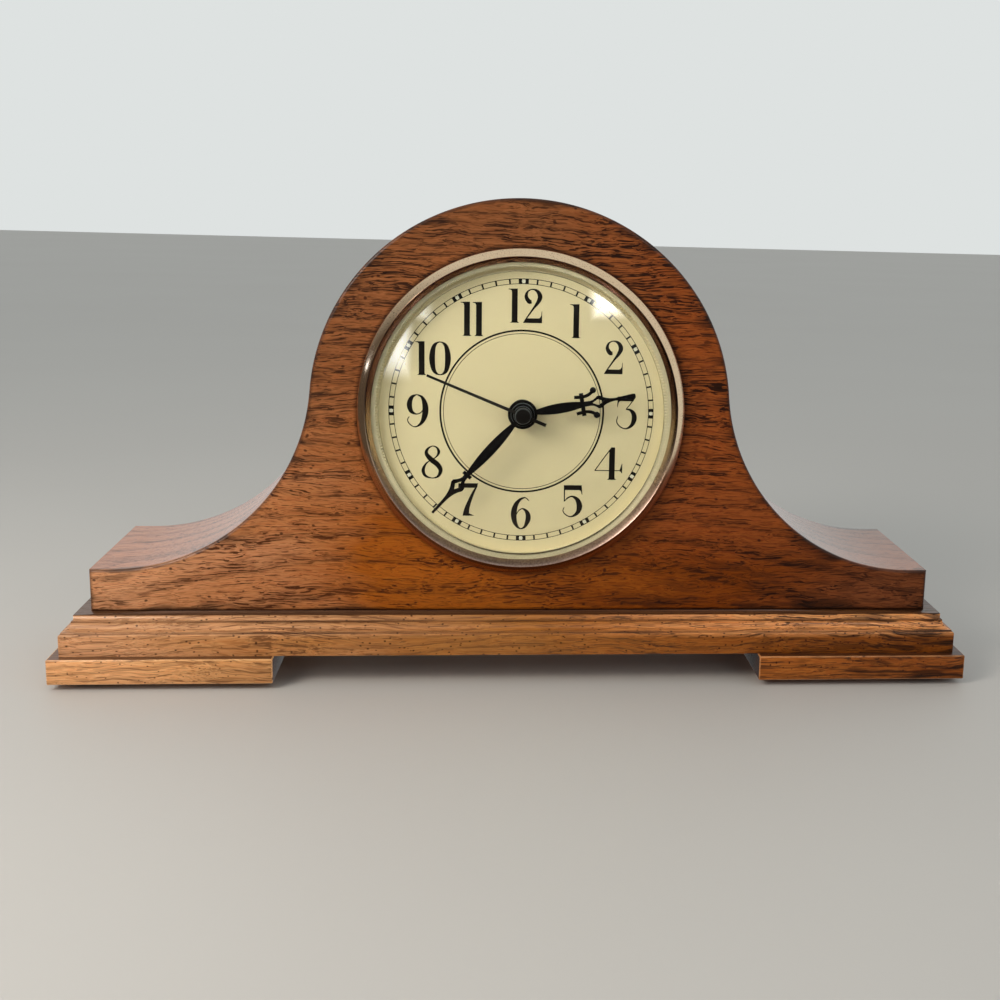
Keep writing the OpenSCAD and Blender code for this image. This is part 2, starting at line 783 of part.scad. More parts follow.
module rotor() {
    color(steel) {
        pivoted_arbor(rotor_at);
        bar(magnet_level, magnet_t, magnet_d, rotor_at);
        gear(fifth_depth - pinion_lead, rotor_teeth, rotor_m, rotor_at, rotor_start, pinion_t);
    }
}

module fifth_wheel() {
    color(cream) {
        pivoted_arbor(fifth_at);
        gear(fifth_depth, fifth_teeth, rotor_m, fifth_at, fifth_start);
        gear(seconds_depth - pinion_lead, fifth_pinion_teeth, seconds_m, fifth_at, fifth_start,
            pinion_t);
    }
}

// Seconds wheel on the long arbor that carries the second hand
module seconds_wheel() {
    color(cream) {
        gear(seconds_depth, seconds_teeth, seconds_m, [0, 0], seconds_start);
        gear(third_depth - pinion_lead, seconds_pinion_teeth, third_m, [0, 0], seconds_start,
            pinion_t);
        bar(-movement_front - cap_level + arbor_d, movement_front + cap_level - arbor_d
            + plate_level - run_gap, arbor_d);
        bar(plate_level - movement_wall, movement_wall + plate_t, thin_arbor_d);
    }
}

module third_wheel() {
    color(cream) {
        pivoted_arbor(third_at);
        gear(third_depth, third_teeth, third_m, third_at, third_start);
        gear(centre_depth - pinion_lead, third_pinion_teeth, centre_m, third_at, third_start,
            pinion_t);
    }
}

// Minute wheel of the going train, a slipping fit on the minute pipe
module centre_wheel() {
    color(cream) difference() {
        gear(centre_depth, centre_teeth, centre_m, [0, 0], centre_start);
        bar(0, movement_t, minute_d + 2 * run_gap);
    }
}

// Minute pipe with the cannon pinion and a collar behind the centre wheel
module minute_pipe() {
    collar_depth = centre_depth + gear_t + run_gap;
    collar_t = gear_t * 0.4;
    pipe_front = minute_level + hand_t + movement_front;
    color(brass) difference() {
        union() {
            gear(motion_depth - pinion_lead, cannon_teeth, cannon_m, [0, 0], cannon_start,
                pinion_t);
            bar(-pipe_front, pipe_front + collar_depth + collar_t, minute_d);
            bar(collar_depth, collar_t, minute_d + arbor_d);
        }
        bar(-2 * movement_t, 4 * movement_t, minute_bore);
    }
}

module motion_wheel() {
    color(cream) {
        pivoted_arbor(motion_at);
        gear(motion_depth, motion_teeth, cannon_m, motion_at, motion_start);
        gear(hour_depth - pinion_lead, motion_pinion_teeth, hour_m, motion_at, motion_start,
            pinion_t);
    }
}

module hour_wheel() {
    pipe_front = hour_level + hand_t + movement_front;
    color(cream) difference() {
        union() {
            gear(hour_depth, hour_teeth, hour_m, [0, 0], hour_start);
            bar(-pipe_front, pipe_front + hour_depth + gear_t, hour_d);
        }
        bar(-2 * movement_t, 4 * movement_t, hour_bore);
    }
}

// Knob behind the movement that turns the hands, with its pinion on the motion wheel
module set_knob() {
    knob_d = arbor_gap * 1.4;
    knob_t = movement_wall * 2;
    grips = 18;
    color(black) {
        bar(movement_wall - pivot_depth + run_gap, movement_wall, set_tip_d, set_at);
        bar(movement_wall + run_gap, movement_t, set_shaft_d, set_at);
        gear(motion_depth - pinion_lead, set_teeth, cannon_m, set_at, set_start, pinion_t);
        layer(movement_t + movement_wall / 2, knob_t, set_at) difference() {
            circle(d = knob_d);
            for (i = [0:grips - 1]) rotate(i * 360 / grips) translate([knob_d / 2, 0])
                circle(d = knob_d * 0.09);
        }
    }
}

// Slim leaf from the hub outwards: middle, half length and half width as shares
module leaf(length, shares) {
    half_len = shares[1] * length;
    half_w = shares[2] * length;
    r = (pow(half_len, 2) + pow(half_w, 2)) / (2 * half_w);
    translate([0, shares[0] * length]) intersection() {
        translate([r - half_w, 0]) circle(r, $fn = 720);
        translate([half_w - r, 0]) circle(r, $fn = 720);
    }
}

// Points on a curve from a to b that leaves and arrives along its handle h
function curve(a, h, b) = [for (i = [0:curve_steps]) let (t = i / curve_steps)
    pow(1 - t, 2) * a + 2 * t * (1 - t) * h + pow(t, 2) * b];

// Outer end of a hand: neck, flare to the diamond, taper and tip, mirrored about its middle
module tip(length, s) {
    side = concat([s[0]], curve(s[1], s[2], s[3]), curve(s[4], s[5], s[6]),
        [for (i = [7:len(s) - 1]) s[i]]);
    polygon(length * concat([for (p = side) [p[1], p[0]]],
        [for (i = [len(side) - 1:-1:0]) [-side[i][1], side[i][0]]]));
}

module diamond(length, shares) {
    polygon(length * [[0, shares[0] - shares[1]], [shares[2], shares[0]],
        [0, shares[0] + shares[1]], [-shares[2], shares[0]]]);
}

module cross_bar(length, shares) {
    translate([0, shares[0] * length]) square(2 * length * [shares[2], shares[1]], center = true);
}

// One S-shaped scroll beside the hour hand: a ribbon along a curve, ending in a ball
module scroll(length) {
    w = scroll_share * length;
    s = [for (p = scroll_shares) length * [p[1], p[0]]];
    line = [for (i = [0:scroll_steps]) let (t = i / scroll_steps, u = 1 - t)
        pow(u, 3) * s[0] + 3 * t * pow(u, 2) * s[1] + 3 * pow(t, 2) * u * s[2] + pow(t, 3) * s[3]];
    side = [for (i = [0:scroll_steps])
        let (d = line[min(i + 1, scroll_steps)] - line[max(i - 1, 0)])
        w * [-d[1], d[0]] / norm(d)];
    polygon(concat([for (i = [0:scroll_steps]) line[i] + side[i]],
        [for (i = [scroll_steps:-1:0]) line[i] - side[i]]));
    translate(s[3]) circle(scroll_ball_share * length);
}

// Moves to a hand's plane, with twelve o'clock turned to the hand's direction
module at_hand(level, angle) {
    on_dial() translate([0, 0, level]) rotate([0, 0, -angle]) children();
}

// Boss behind a hand that grips its pipe
module collet(level, from, d) {
    on_dial() translate([0, 0, from]) cylinder(h = level - from, d = d);
}

module hour_hand() {
    color(black) difference() {
        union() {
            at_hand(hour_level, hour_angle) linear_extrude(hand_t) difference() {
                union() {
                    circle(hour_hub_share * hour_len);
                    leaf(hour_len, hour_leaf_shares);
                    tip(hour_len, hour_tip_shares);
                    cross_bar(hour_len, hour_bar_shares);
                    scroll(hour_len);
                    mirror([1, 0]) scroll(hour_len);
                }
                diamond(hour_len, hour_diamond_shares);
            }
            collet(hour_level, bushing_out + 2 * run_gap, hour_d * 1.4);
        }
        on_dial() cylinder(h = cap_level, d = hour_d);
    }
}

module minute_hand() {
    color(black) difference() {
        union() {
            at_hand(minute_level, minute_angle) linear_extrude(hand_t) difference() {
                union() {
                    circle(minute_hub_share * minute_len);
                    leaf(minute_len, minute_leaf_shares);
                    tip(minute_len, minute_tip_shares);
                    cross_bar(minute_len, minute_bar_shares);
                }
                diamond(minute_len, minute_diamond_shares);
            }
            collet(minute_level, hour_level + hand_t + 2 * run_gap, minute_d * 1.5);
        }
        on_dial() cylinder(h = cap_level, d = minute_d);
    }
}

// Second hand: tapered needle and tail under a round cap that closes over the arbor
module second_hand() {
    color(black) difference() {
        union() {
            at_hand(second_level, second_angle) linear_extrude(second_t)
                polygon([[-second_w / 2, -second_tail], [second_w / 2, -second_tail],
                    [second_tip_w / 2, second_len], [-second_tip_w / 2, second_len]]);
            on_dial() translate([0, 0, second_level]) cylinder(h = cap_level - second_level, d = cap_d);
            on_dial() translate([0, 0, minute_level + hand_t + 4 * run_gap])
                cylinder(h = second_level - minute_level, d = 2.4 * arbor_d);
        }
        on_dial() cylinder(h = cap_level - arbor_d, d = arbor_d);
    }
}

case_body();
plinth();
left_foot();
right_foot();
foot_pads();
case_screws();
foot_screws();
bezel();
crystal();
dial_ring();
dial();
insert_can();
grip_band();
dial_gasket();
dial_nut();
shaft_bushing();
movement_case();
movement_cover();
train_plate();
battery();
contact_plus();
contact_minus();
circuit_board();
quartz_can();
drive_coil();
coil_core();
stator();
rotor();
fifth_wheel();
seconds_wheel();
third_wheel();
centre_wheel();
minute_pipe();
motion_wheel();
hour_wheel();
set_knob();
hour_hand();
minute_hand();
second_hand();
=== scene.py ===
# Mantel clock: an arched oak case on a coved plinth, with a brass-framed quartz clock in its front
import math

import bmesh
import bpy
from mathutils import Matrix, Vector


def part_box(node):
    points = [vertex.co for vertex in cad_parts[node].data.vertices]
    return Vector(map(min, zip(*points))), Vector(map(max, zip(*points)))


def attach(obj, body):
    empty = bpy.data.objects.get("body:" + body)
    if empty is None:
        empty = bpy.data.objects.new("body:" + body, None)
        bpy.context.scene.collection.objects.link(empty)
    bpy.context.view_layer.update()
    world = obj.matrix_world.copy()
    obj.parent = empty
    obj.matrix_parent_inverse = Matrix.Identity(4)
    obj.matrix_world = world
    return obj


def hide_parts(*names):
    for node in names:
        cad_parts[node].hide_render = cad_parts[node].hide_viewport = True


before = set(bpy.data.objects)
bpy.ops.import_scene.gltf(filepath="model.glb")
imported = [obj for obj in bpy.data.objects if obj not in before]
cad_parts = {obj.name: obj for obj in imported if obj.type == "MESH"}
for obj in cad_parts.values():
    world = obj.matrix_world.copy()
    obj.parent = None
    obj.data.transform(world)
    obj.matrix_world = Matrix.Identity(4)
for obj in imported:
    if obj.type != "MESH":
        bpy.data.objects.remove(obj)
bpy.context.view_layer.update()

# Case body
# A thick block of glued-up red oak, band-sawn to an arch with hollow shoulders and bored for the
# clock. It is stained, its open pores are rubbed with dark glaze, and it is sprayed with satin lacquer.
# The eye sees an orange brown with dark dashes along the grain and a soft shine on the edges.
MM = 0.001
body_low, body_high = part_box("case_body")
front_y, back_y = body_low.y, body_high.y
body_foot = body_low.z
arch_r = 82 * MM
sweep_r = 78 * MM
shoulder_h = 16.7 * MM
bore_r = 60 * MM
dial_z = body_high.z - arch_r
ease_mm = 1.2
arris_shade_mm = 0.35


def srgb(code, alpha=1.0):
    """A hex colour as linear light"""
    parts = [int(code[i:i + 2], 16) / 255 for i in (1, 3, 5)]
    return [p / 12.92 if p <= 0.04045 else ((p + 0.055) / 1.055) ** 2.4 for p in parts] + [alpha]


def feed(node, feeds):
    """Gives each named input a value, or links it to a socket or to a node's own result"""
    for name, value in feeds.items():
        if isinstance(value, bpy.types.Node):
            value = next(socket for socket in value.outputs if socket.enabled)
        if isinstance(value, bpy.types.NodeSocket):
            node.id_data.links.new(value, node.inputs[name])
        else:
            node.inputs[name].default_value = value


def put(tree, kind, feeds=None, **settings):
    """Adds a node with its settings and feeds it. A Mix node has its share at 0, its colours at 6 and 7"""
    node = tree.nodes.new(kind)
    for name, value in settings.items():
        setattr(node, name, value)
    feed(node, feeds or {})
    return node


def new_finish(name, **sockets):
    """A material with its shader's own sockets set"""
    material = bpy.data.materials.new(name)
    material.use_nodes = True
    shader = material.node_tree.nodes["Principled BSDF"]
    feed(shader, {socket.replace("_", " "): value for socket, value in sockets.items()})
    return material, material.node_tree, shader


def stained_oak(name, ground, glaze, heart, ring_mm, ends, coat=0.3, fine=1.0, arris=False, shaded_ledge_z=None,
                shade_smudge=None, length=1.0, specks=0.14, lit_pore_tone="#4F2205", zones=(), peck=1.0,
                shaded_creases=(), wave=2.6):
    """Red oak in satin lacquer. Growth rings lie about a heart at (x, y, z) mm and widen towards it; open
    pores filled with dark glaze crowd along them, and wave by so many mm. Pores are drawn 0.4 to 0.6 mm
    wide, as coarse as they show, and low at the left, where the lamps fall, their glaze is painted paler,
    as painted light. The ground takes other tones at the left, the right and the far right. These are
    partly its own and partly painted light, paler at the lit left and darker at the shaded right. It also
    takes tones in zones between two heights, two places along and two in depth. Dark specks are scattered
    over it. With arris, dark worn patches lie near the arrises, and painted shade darkens the arrises and
    a ring round the bezel, as the bezel's contact shadow. Painted shade also darkens a ledge at
    shaded_ledge_z and the heights in shaded_creases, and lies in patches from one place along to another
    under a height."""
    material, tree, shader = new_finish(name, Coat_Weight=coat, Coat_Roughness=0.2, Coat_IOR=1.5,
                                        Specular_IOR_Level=0.12)
    place = put(tree, "ShaderNodeTexCoord").outputs["Object"]
    spot = put(tree, "ShaderNodeVectorMath", {0: place, 1: (1000.0, 1000.0, 1000.0)},
               operation="MULTIPLY")
    along = put(tree, "ShaderNodeSeparateXYZ", {0: spot}).outputs

    # The grain sways over a hand's breadth and kinks over a finger's
    bent = spot
    for per_mm, detail, off_mm in (((0.011, 0.03, 0.03), 3.0, 16.0), ((0.07, 0.2, 0.2), 2.0, wave)):
        scaled = put(tree, "ShaderNodeVectorMath", {0: spot, 1: per_mm}, operation="MULTIPLY")
        drift = put(tree, "ShaderNodeTexNoise", {"Vector": scaled, "Scale": 1.0, "Detail": detail})
        drift = put(tree, "ShaderNodeVectorMath", {0: drift.outputs["Color"], 1: (0.5, 0.5, 0.5)},
                    operation="SUBTRACT")
        drift = put(tree, "ShaderNodeVectorMath", {0: drift, 1: (0.0, off_mm, off_mm)},
                    operation="MULTIPLY")
        bent = put(tree, "ShaderNodeVectorMath", {0: bent, 1: drift}, operation="ADD")

    # Each pattern has its own count of waves to the millimetre, few along the grain
    patterns = {}
    for label, where, per_mm, detail, rough in (
            ("crowd", spot, (0.016, 0.045, 0.045), 2.0, 0.5),
            ("cloud", spot, (0.012, 0.04, 0.04), 3.0, 0.5),
            ("fibre", bent, (0.03, 2.8, 2.8), 3.0, 0.7),
            ("long pores", bent, (0.075 * fine / length, 1.9 * fine, 1.9 * fine), 2.0, 0.55),
            ("short pores", bent, (0.15 * fine / length, 2.4 * fine, 2.4 * fine), 2.0, 0.5),
            ("worn patches", bent, (0.035, 0.16, 0.16), 2.0, 0.5),
            ("smudges", bent, (0.045, 0.3, 0.3), 3.0, 0.5)):
        scaled = put(tree, "ShaderNodeVectorMath", {0: where, 1: per_mm}, operation="MULTIPLY")
        patterns[label] = put(tree, "ShaderNodeTexNoise", {"Vector": scaled, "Scale": 1.0,
                                                           "Detail": detail, "Roughness": rough})
    crowd = put(tree, "ShaderNodeMapRange", {"Value": patterns["crowd"], "From Min": 0.38,
                                             "From Max": 0.62})
    cloud = put(tree, "ShaderNodeMapRange", {"Value": patterns["cloud"], "From Min": 0.3,
                                             "From Max": 0.7})
    fibre = put(tree, "ShaderNodeMapRange", {"Value": patterns["fibre"], "From Min": 0.3,
                                             "From Max": 0.7})

    # Early wood, the porous band at the start of each ring
    away = put(tree, "ShaderNodeVectorMath", {0: bent, 1: heart}, operation="SUBTRACT")
    away = put(tree, "ShaderNodeVectorMath", {0: away, 1: (0.22, 1.0, 1.0)}, operation="MULTIPLY")
    away = put(tree, "ShaderNodeVectorMath", {0: away}, operation="LENGTH")
    rings = put(tree, "ShaderNodeMath", {0: away, 1: ring_mm}, operation="DIVIDE")
    rings = put(tree, "ShaderNodeMath", {0: rings, 1: 1.6}, operation="POWER")
    rings = put(tree, "ShaderNodeMath", {0: rings}, operation="FRACT")
    tail = put(tree, "ShaderNodeMapRange", {"Value": rings, "From Min": 0.6, "From Max": 0.1})
    onset = put(tree, "ShaderNodeMapRange", {"Value": rings, "From Min": 0.0, "From Max": 0.08})
    early = put(tree, "ShaderNodeMath", {0: tail, 1: onset}, operation="MULTIPLY")

    # Pores show where their pattern rises over a threshold, which is lower in early wood
    arch = put(tree, "ShaderNodeMapRange", {"Value": along[2], "From Min": 70.0, "From Max": 115.0})
    edge = put(tree, "ShaderNodeMath", {0: early, 1: -0.085, 2: 0.615}, operation="MULTIPLY_ADD")
    edge = put(tree, "ShaderNodeMath", {0: crowd, 1: -0.05, 2: edge}, operation="MULTIPLY_ADD")
    edge = put(tree, "ShaderNodeMath", {0: arch, 1: -0.03, 2: edge}, operation="MULTIPLY_ADD")
    over = put(tree, "ShaderNodeMath", {0: patterns["long pores"], 1: edge}, operation="SUBTRACT")
    long_pore = put(tree, "ShaderNodeMapRange", {"Value": over, "From Min": 0.0, "From Max": 0.06})
    edge = put(tree, "ShaderNodeMath", {0: early, 1: -0.05, 2: 0.54}, operation="MULTIPLY_ADD")
    over = put(tree, "ShaderNodeMath", {0: patterns["short pores"], 1: edge}, operation="SUBTRACT")
    short_pore = put(tree, "ShaderNodeMapRange", {"Value": over, "From Min": 0.0, "From Max": 0.08})

    # Stain, as layers of a share, its strength, its tone and how it is mixed
    reach = put(tree, "ShaderNodeMath", {0: along[0], 1: 25.0}, operation="SUBTRACT")
    reach = put(tree, "ShaderNodeMath", {0: cloud, 1: 50.0, 2: reach}, operation="MULTIPLY_ADD")
    layers = []
    # The tones at the ends are partly painted light: paler at the lit left, darker at the shaded right
    for tone, near, far in zip(ends, (-55.0, -10.0, 80.0), (-150.0, 70.0, 160.0)):
        share = put(tree, "ShaderNodeMapRange", {"Value": reach, "From Min": near, "From Max": far})
        layers.append((share, 1.0, tone, "MIX"))
    for tone, low, high, start, full, deep, near in zones:
        sides = [put(tree, "ShaderNodeMapRange", {"Value": along[axis], "From Min": a, "From Max": b})
                 for axis, a, b in ((2, low, high), (0, start, full), (1, deep, near))]
        share = put(tree, "ShaderNodeMath", {0: sides[0], 1: sides[1]}, operation="MULTIPLY")
        share = put(tree, "ShaderNodeMath", {0: share, 1: sides[2]}, operation="MULTIPLY")
        layers.append((share, 1.0, tone, "MIX"))
    layers.append((early, 0.16, glaze, "MIX"))
    layers.append((fibre, 0.6, "#2A1206", "SOFT_LIGHT"))
    layers.append((cloud, 0.2, "#FFE2A8", "SOFT_LIGHT"))
    colour = srgb(ground)
    for share, strength, tone, how in layers:
        share = put(tree, "ShaderNodeMath", {0: share, 1: strength}, operation="MULTIPLY")
        colour = put(tree, "ShaderNodeMix", {0: share, 6: colour, 7: srgb(tone)}, data_type="RGBA",
                     blend_type=how)

    # Glaze in the pores, painted paler low at the left, where the lamps fall, as painted light
    low = put(tree, "ShaderNodeMapRange", {"Value": along[2], "From Min": 60.0, "From Max": 105.0,
                                           "To Min": 1.0, "To Max": 0.0})
    left = put(tree, "ShaderNodeMapRange", {"Value": along[0], "From Min": 0.0, "From Max": 90.0,
                                            "To Min": 0.6, "To Max": 0.1})
    lean = put(tree, "ShaderNodeMath", {0: low, 1: left}, operation="MULTIPLY")
    # rubbed holds the glaze painted paler where the lamps fall, as painted light
    rubbed = put(tree, "ShaderNodeMix", {0: lean, 6: srgb(glaze), 7: srgb(lit_pore_tone)}, data_type="RGBA")
    soft_glaze = put(tree, "ShaderNodeMix", {0: 0.25, 6: rubbed, 7: colour}, data_type="RGBA")
    share = put(tree, "ShaderNodeMath", {0: short_pore, 1: 0.6}, operation="MULTIPLY")
    colour = put(tree, "ShaderNodeMix", {0: share, 6: colour, 7: soft_glaze}, data_type="RGBA")
    share = put(tree, "ShaderNodeMath", {0: crowd, 1: 0.25, 2: 0.68}, operation="MULTIPLY_ADD")
    share = put(tree, "ShaderNodeMath", {0: long_pore, 1: share}, operation="MULTIPLY")
    colour = put(tree, "ShaderNodeMix", {0: share, 6: colour, 7: rubbed}, data_type="RGBA")

    # Specks, worn patches, and painted shade at arrises, round the bezel, on ledges, in creases and in
    # patches, as a share and its tone
    scaled = put(tree, "ShaderNodeVectorMath", {0: bent, 1: (0.16, 0.23, 0.23)}, operation="MULTIPLY")
    fleck = put(tree, "ShaderNodeTexVoronoi", {"Vector": scaled, "Scale": peck})
    fleck = put(tree, "ShaderNodeMapRange", {"Value": fleck, "From Min": specks,
                                             "From Max": specks * 0.5})
    marks = [(put(tree, "ShaderNodeMath", {0: fleck, 1: 0.8}, operation="MULTIPLY"), "#2A1008")]
    if arris:
        near = put(tree, "ShaderNodeAttribute", attribute_name="arris_mm").outputs["Fac"]
        # A dark line is painted along the arrises, as painted shade
        line = put(tree, "ShaderNodeMapRange", {"Value": near, "From Min": 1.2, "From Max": 0.2,
                                                "To Min": 0.0, "To Max": 0.6})
        patch = put(tree, "ShaderNodeMapRange", {"Value": patterns["worn patches"], "From Min": 0.5,
                                                 "From Max": 0.6})
        band = put(tree, "ShaderNodeMapRange", {"Value": near, "From Min": 6.0, "From Max": 1.0,
                                                "To Min": 0.0, "To Max": 0.7})
        patch = put(tree, "ShaderNodeMath", {0: patch, 1: band}, operation="MULTIPLY")
        # A dark ring is painted round the bezel, as its painted contact shadow on the wood
        off = put(tree, "ShaderNodeVectorMath", {0: spot, 1: (0.0, 0.0, dial_z / MM)},
                  operation="SUBTRACT")
        off = put(tree, "ShaderNodeVectorMath", {0: off, 1: (1.0, 0.0, 1.0)}, operation="MULTIPLY")
        off = put(tree, "ShaderNodeVectorMath", {0: off}, operation="LENGTH")
        bezel_contact_shadow = put(tree, "ShaderNodeMapRange", {"Value": off, "From Min": 65.2,
                                                       "From Max": 63.6, "To Min": 0.0, "To Max": 0.8})
        marks += [(line, "#2A1208"), (patch, "#1E110B"), (bezel_contact_shadow, "#1B0D07")]
    if shaded_ledge_z:
        # The ledge is painted dark, as painted shade where the part above shades it
        ledge_shade = put(tree, "ShaderNodeMapRange", {"Value": along[2], "From Min": shaded_ledge_z - 0.3,
                                                 "From Max": shaded_ledge_z - 0.1, "To Min": 0.0,
                                                 "To Max": 0.85})
        marks.append((ledge_shade, "#3A1E0F"))
    for crease in shaded_creases:
        # Each crease line is painted dark, as painted shade
        off = put(tree, "ShaderNodeMath", {0: along[2], 1: crease}, operation="SUBTRACT")
        off = put(tree, "ShaderNodeMath", {0: off}, operation="ABSOLUTE")
        off = put(tree, "ShaderNodeMapRange", {"Value": off, "From Min": 0.5, "From Max": 0.15})
        depth = put(tree, "ShaderNodeMath", {0: crowd, 1: 0.45, 2: 0.35}, operation="MULTIPLY_ADD")
        marks.append((put(tree, "ShaderNodeMath", {0: off, 1: depth}, operation="MULTIPLY"), "#35190B"))
    if shade_smudge:
        # Dark patches grow denser to the right, low and near the front, as painted shade
        start, full, top = shade_smudge
        far = put(tree, "ShaderNodeMapRange", {"Value": along[0], "From Min": start, "From Max": full,
                                               "To Min": 0.15, "To Max": 1.0})
        under = put(tree, "ShaderNodeMapRange", {"Value": along[2], "From Min": top,
                                                 "From Max": top - 25.0})
        front = put(tree, "ShaderNodeMapRange", {"Value": along[1], "From Min": -24.0,
                                                 "From Max": -36.0})
        far = put(tree, "ShaderNodeMath", {0: far, 1: under}, operation="MULTIPLY")
        far = put(tree, "ShaderNodeMath", {0: far, 1: front}, operation="MULTIPLY")
        patch = put(tree, "ShaderNodeMapRange", {"Value": patterns["smudges"], "From Min": 0.51,
                                                 "From Max": 0.61, "To Min": 0.0, "To Max": 0.72})
        marks.append((put(tree, "ShaderNodeMath", {0: patch, 1: far}, operation="MULTIPLY"), "#1D0F08"))
    for share, tone in marks:
        colour = put(tree, "ShaderNodeMix", {0: share, 6: colour, 7: srgb(tone)}, data_type="RGBA")

    # Pores are duller than the lacquer round them and lie a little under it
    dull = put(tree, "ShaderNodeMath", {0: long_pore, 1: 0.2, 2: 0.42}, operation="MULTIPLY_ADD")
    height = put(tree, "ShaderNodeMath", {0: long_pore, 1: -0.8}, operation="MULTIPLY")
    height = put(tree, "ShaderNodeMath", {0: fibre, 1: 0.15, 2: height}, operation="MULTIPLY_ADD")
    relief = put(tree, "ShaderNodeBump", {"Height": height, "Strength": 0.5, "Distance": 0.1 * MM})
    feed(shader, {"Base Color": colour, "Roughness": dull, "Normal": relief})
    return material


def make_piece(name, mesh, finishes, body, slot, *stands_for):
    """Links a finished mesh as a piece that rides on a body"""
    piece = bpy.data.objects.new(name, mesh)
    bpy.context.scene.collection.objects.link(piece)
    for one in finishes:
        mesh.materials.append(one)
    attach(piece, body)
    if stands_for:
        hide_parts(*stands_for)
    return piece


def smooth_mesh(name, shape, sharp_deg=32):
    """Turns a bmesh into a smooth-shaded mesh with crisp edges above an angle"""
    bmesh.ops.recalc_face_normals(shape, faces=shape.faces)
    mesh = bpy.data.meshes.new(name)
    shape.to_mesh(mesh)
    shape.free()
    mesh.polygons.foreach_set("use_smooth", [True] * len(mesh.polygons))
    mesh.set_sharp_from_angle(angle=math.radians(sharp_deg))
    return mesh


def case_outline(inset, arch_steps=60, sweep_steps=48):
    """Points of the body's outline as (x, z), drawn in from its edge by inset"""
    sweep_z = body_foot + shoulder_h + sweep_r
    tilt = math.asin((sweep_z - dial_z) / (arch_r + sweep_r))
    sweep_x = (arch_r + sweep_r) * math.cos(tilt)
    right = []
    for i in range(arch_steps + 1):
        turn = math.pi / 2 + (tilt - math.pi / 2) * i / arch_steps
        right.append(((arch_r - inset) * math.cos(turn), dial_z + (arch_r - inset) * math.sin(turn)))
    for i in range(1, sweep_steps + 1):
        turn = math.pi + tilt + (math.pi / 2 - tilt) * i / sweep_steps
        right.append((sweep_x + (sweep_r + inset) * math.cos(turn),
                      sweep_z + (sweep_r + inset) * math.sin(turn)))
    end_x = body_high.x - inset
    right += [(end_x, body_foot + shoulder_h - inset), (end_x, body_foot + inset)]
    left = [(-x, z) for x, z in reversed(right[1:])]
    return right + left


def make_case_body(face_insets=(6.0, 4.0, 2.8, 1.9), side_depths=(2.0, 3.2, 5.2, 7.2), bore_steps=192):
    """The body as loops round its outline, each with an inset and a depth in mm, and a plain bore. Each
    point keeps its distance from the nearest arris, for the painted arris shade"""
    walls = [(inset, 0.0) for inset in face_insets]
    for a in (0, 18, 36, 54, 72, 90):
        walls.append((ease_mm - ease_mm * math.sin(math.radians(a)),
                      ease_mm - ease_mm * math.cos(math.radians(a))))
    walls += [(0.0, d) for d in side_depths]
    depth = (back_y - front_y) / MM
    walls += [(inset, depth - d) for inset, d in reversed(walls)]
    shape = bmesh.new()
    arris = shape.verts.layers.float.new("arris_mm")
    loops = []
    for inset, d in walls:
        loop = [shape.verts.new((x, front_y + d * MM, z)) for x, z in case_outline(inset * MM)]
        near = min(d, depth - d)
        for v in loop:
            v[arris] = max(0.0, (inset if near < arris_shade_mm else near) - arris_shade_mm)
        loops.append(loop)
    for k, (a, b) in enumerate(zip(loops, loops[1:])):
        for i in range(len(a)):
            j = (i + 1) % len(a)
            side = shape.faces.new((a[i], b[i], b[j], a[j]))
            side.material_index = 2 if walls[k][0] == walls[k + 1][0] == 0.0 else 0
    # The bore's rim counts as far from every arris, past the band that the painted arris shade reaches
    bores, far_mm = [], 8.0
    for y in (front_y, back_y):
        turns = [2 * math.pi * i / bore_steps for i in range(bore_steps)]
        bore = [shape.verts.new((bore_r * math.cos(t), y, dial_z + bore_r * math.sin(t))) for t in turns]
        for v in bore:
            v[arris] = far_mm
        bores.append(bore)
    for i in range(bore_steps):
        j = (i + 1) % bore_steps
        wall = shape.faces.new((bores[0][i], bores[1][i], bores[1][j], bores[0][j]))
        wall.material_index = 1
    shape.edges.index_update()
    for loop, bore, facing in ((loops[0], bores[0], -1), (loops[-1], bores[1], 1)):
        rim = []
        for ring in (loop, bore):
            for pair in zip(ring, ring[1:] + ring[:1]):
                rim.append(shape.edges.get(pair) or shape.edges.new(pair))
        bmesh.ops.triangle_fill(shape, edges=rim, use_beauty=True, normal=(0, facing, 0))
    return smooth_mesh("oak_body", shape)


body_heart, body_ring_mm = (-22.0, -31.0, 14.0), 22.0
all_along, all_deep = (-900.0, -800.0), (900.0, 800.0)
oak_front = stained_oak("satin lacquered red oak", "#A75F14", "#170700", body_heart, body_ring_mm,
                        ("#D09A72", "#844106", "#804A2A"), coat=0.25, arris=True,
                        shade_smudge=(15.0, 90.0, 70.0),
                        zones=[("#955F38", 75.0, 130.0, *all_along, *all_deep),
                               ("#985222", 45.0, 65.0, 10.0, 60.0, *all_deep)])
# The sawn edge above and at the ends has a heavier coat of lacquer, and is painted paler, as painted sheen
# where light falls on it
oak_edge_painted_paler = stained_oak("oak edge lacquered and painted paler", "#A8683C", "#4A2817", body_heart, body_ring_mm,
                       ("#B97A50", "#98603A", "#965A30"), coat=0.75, arris=True)
# The bore is left as the cutter made it: sealed but unstained end grain
raw_oak = stained_oak("sawn oak in the bore", "#8A6238", "#3A2312", body_heart, body_ring_mm,
                      ("#8A6238", "#825C34", "#7A5530"))
make_piece("oak_body", make_case_body(), [oak_front, raw_oak, oak_edge_painted_paler], "case", "oak_body",
           "case_body")

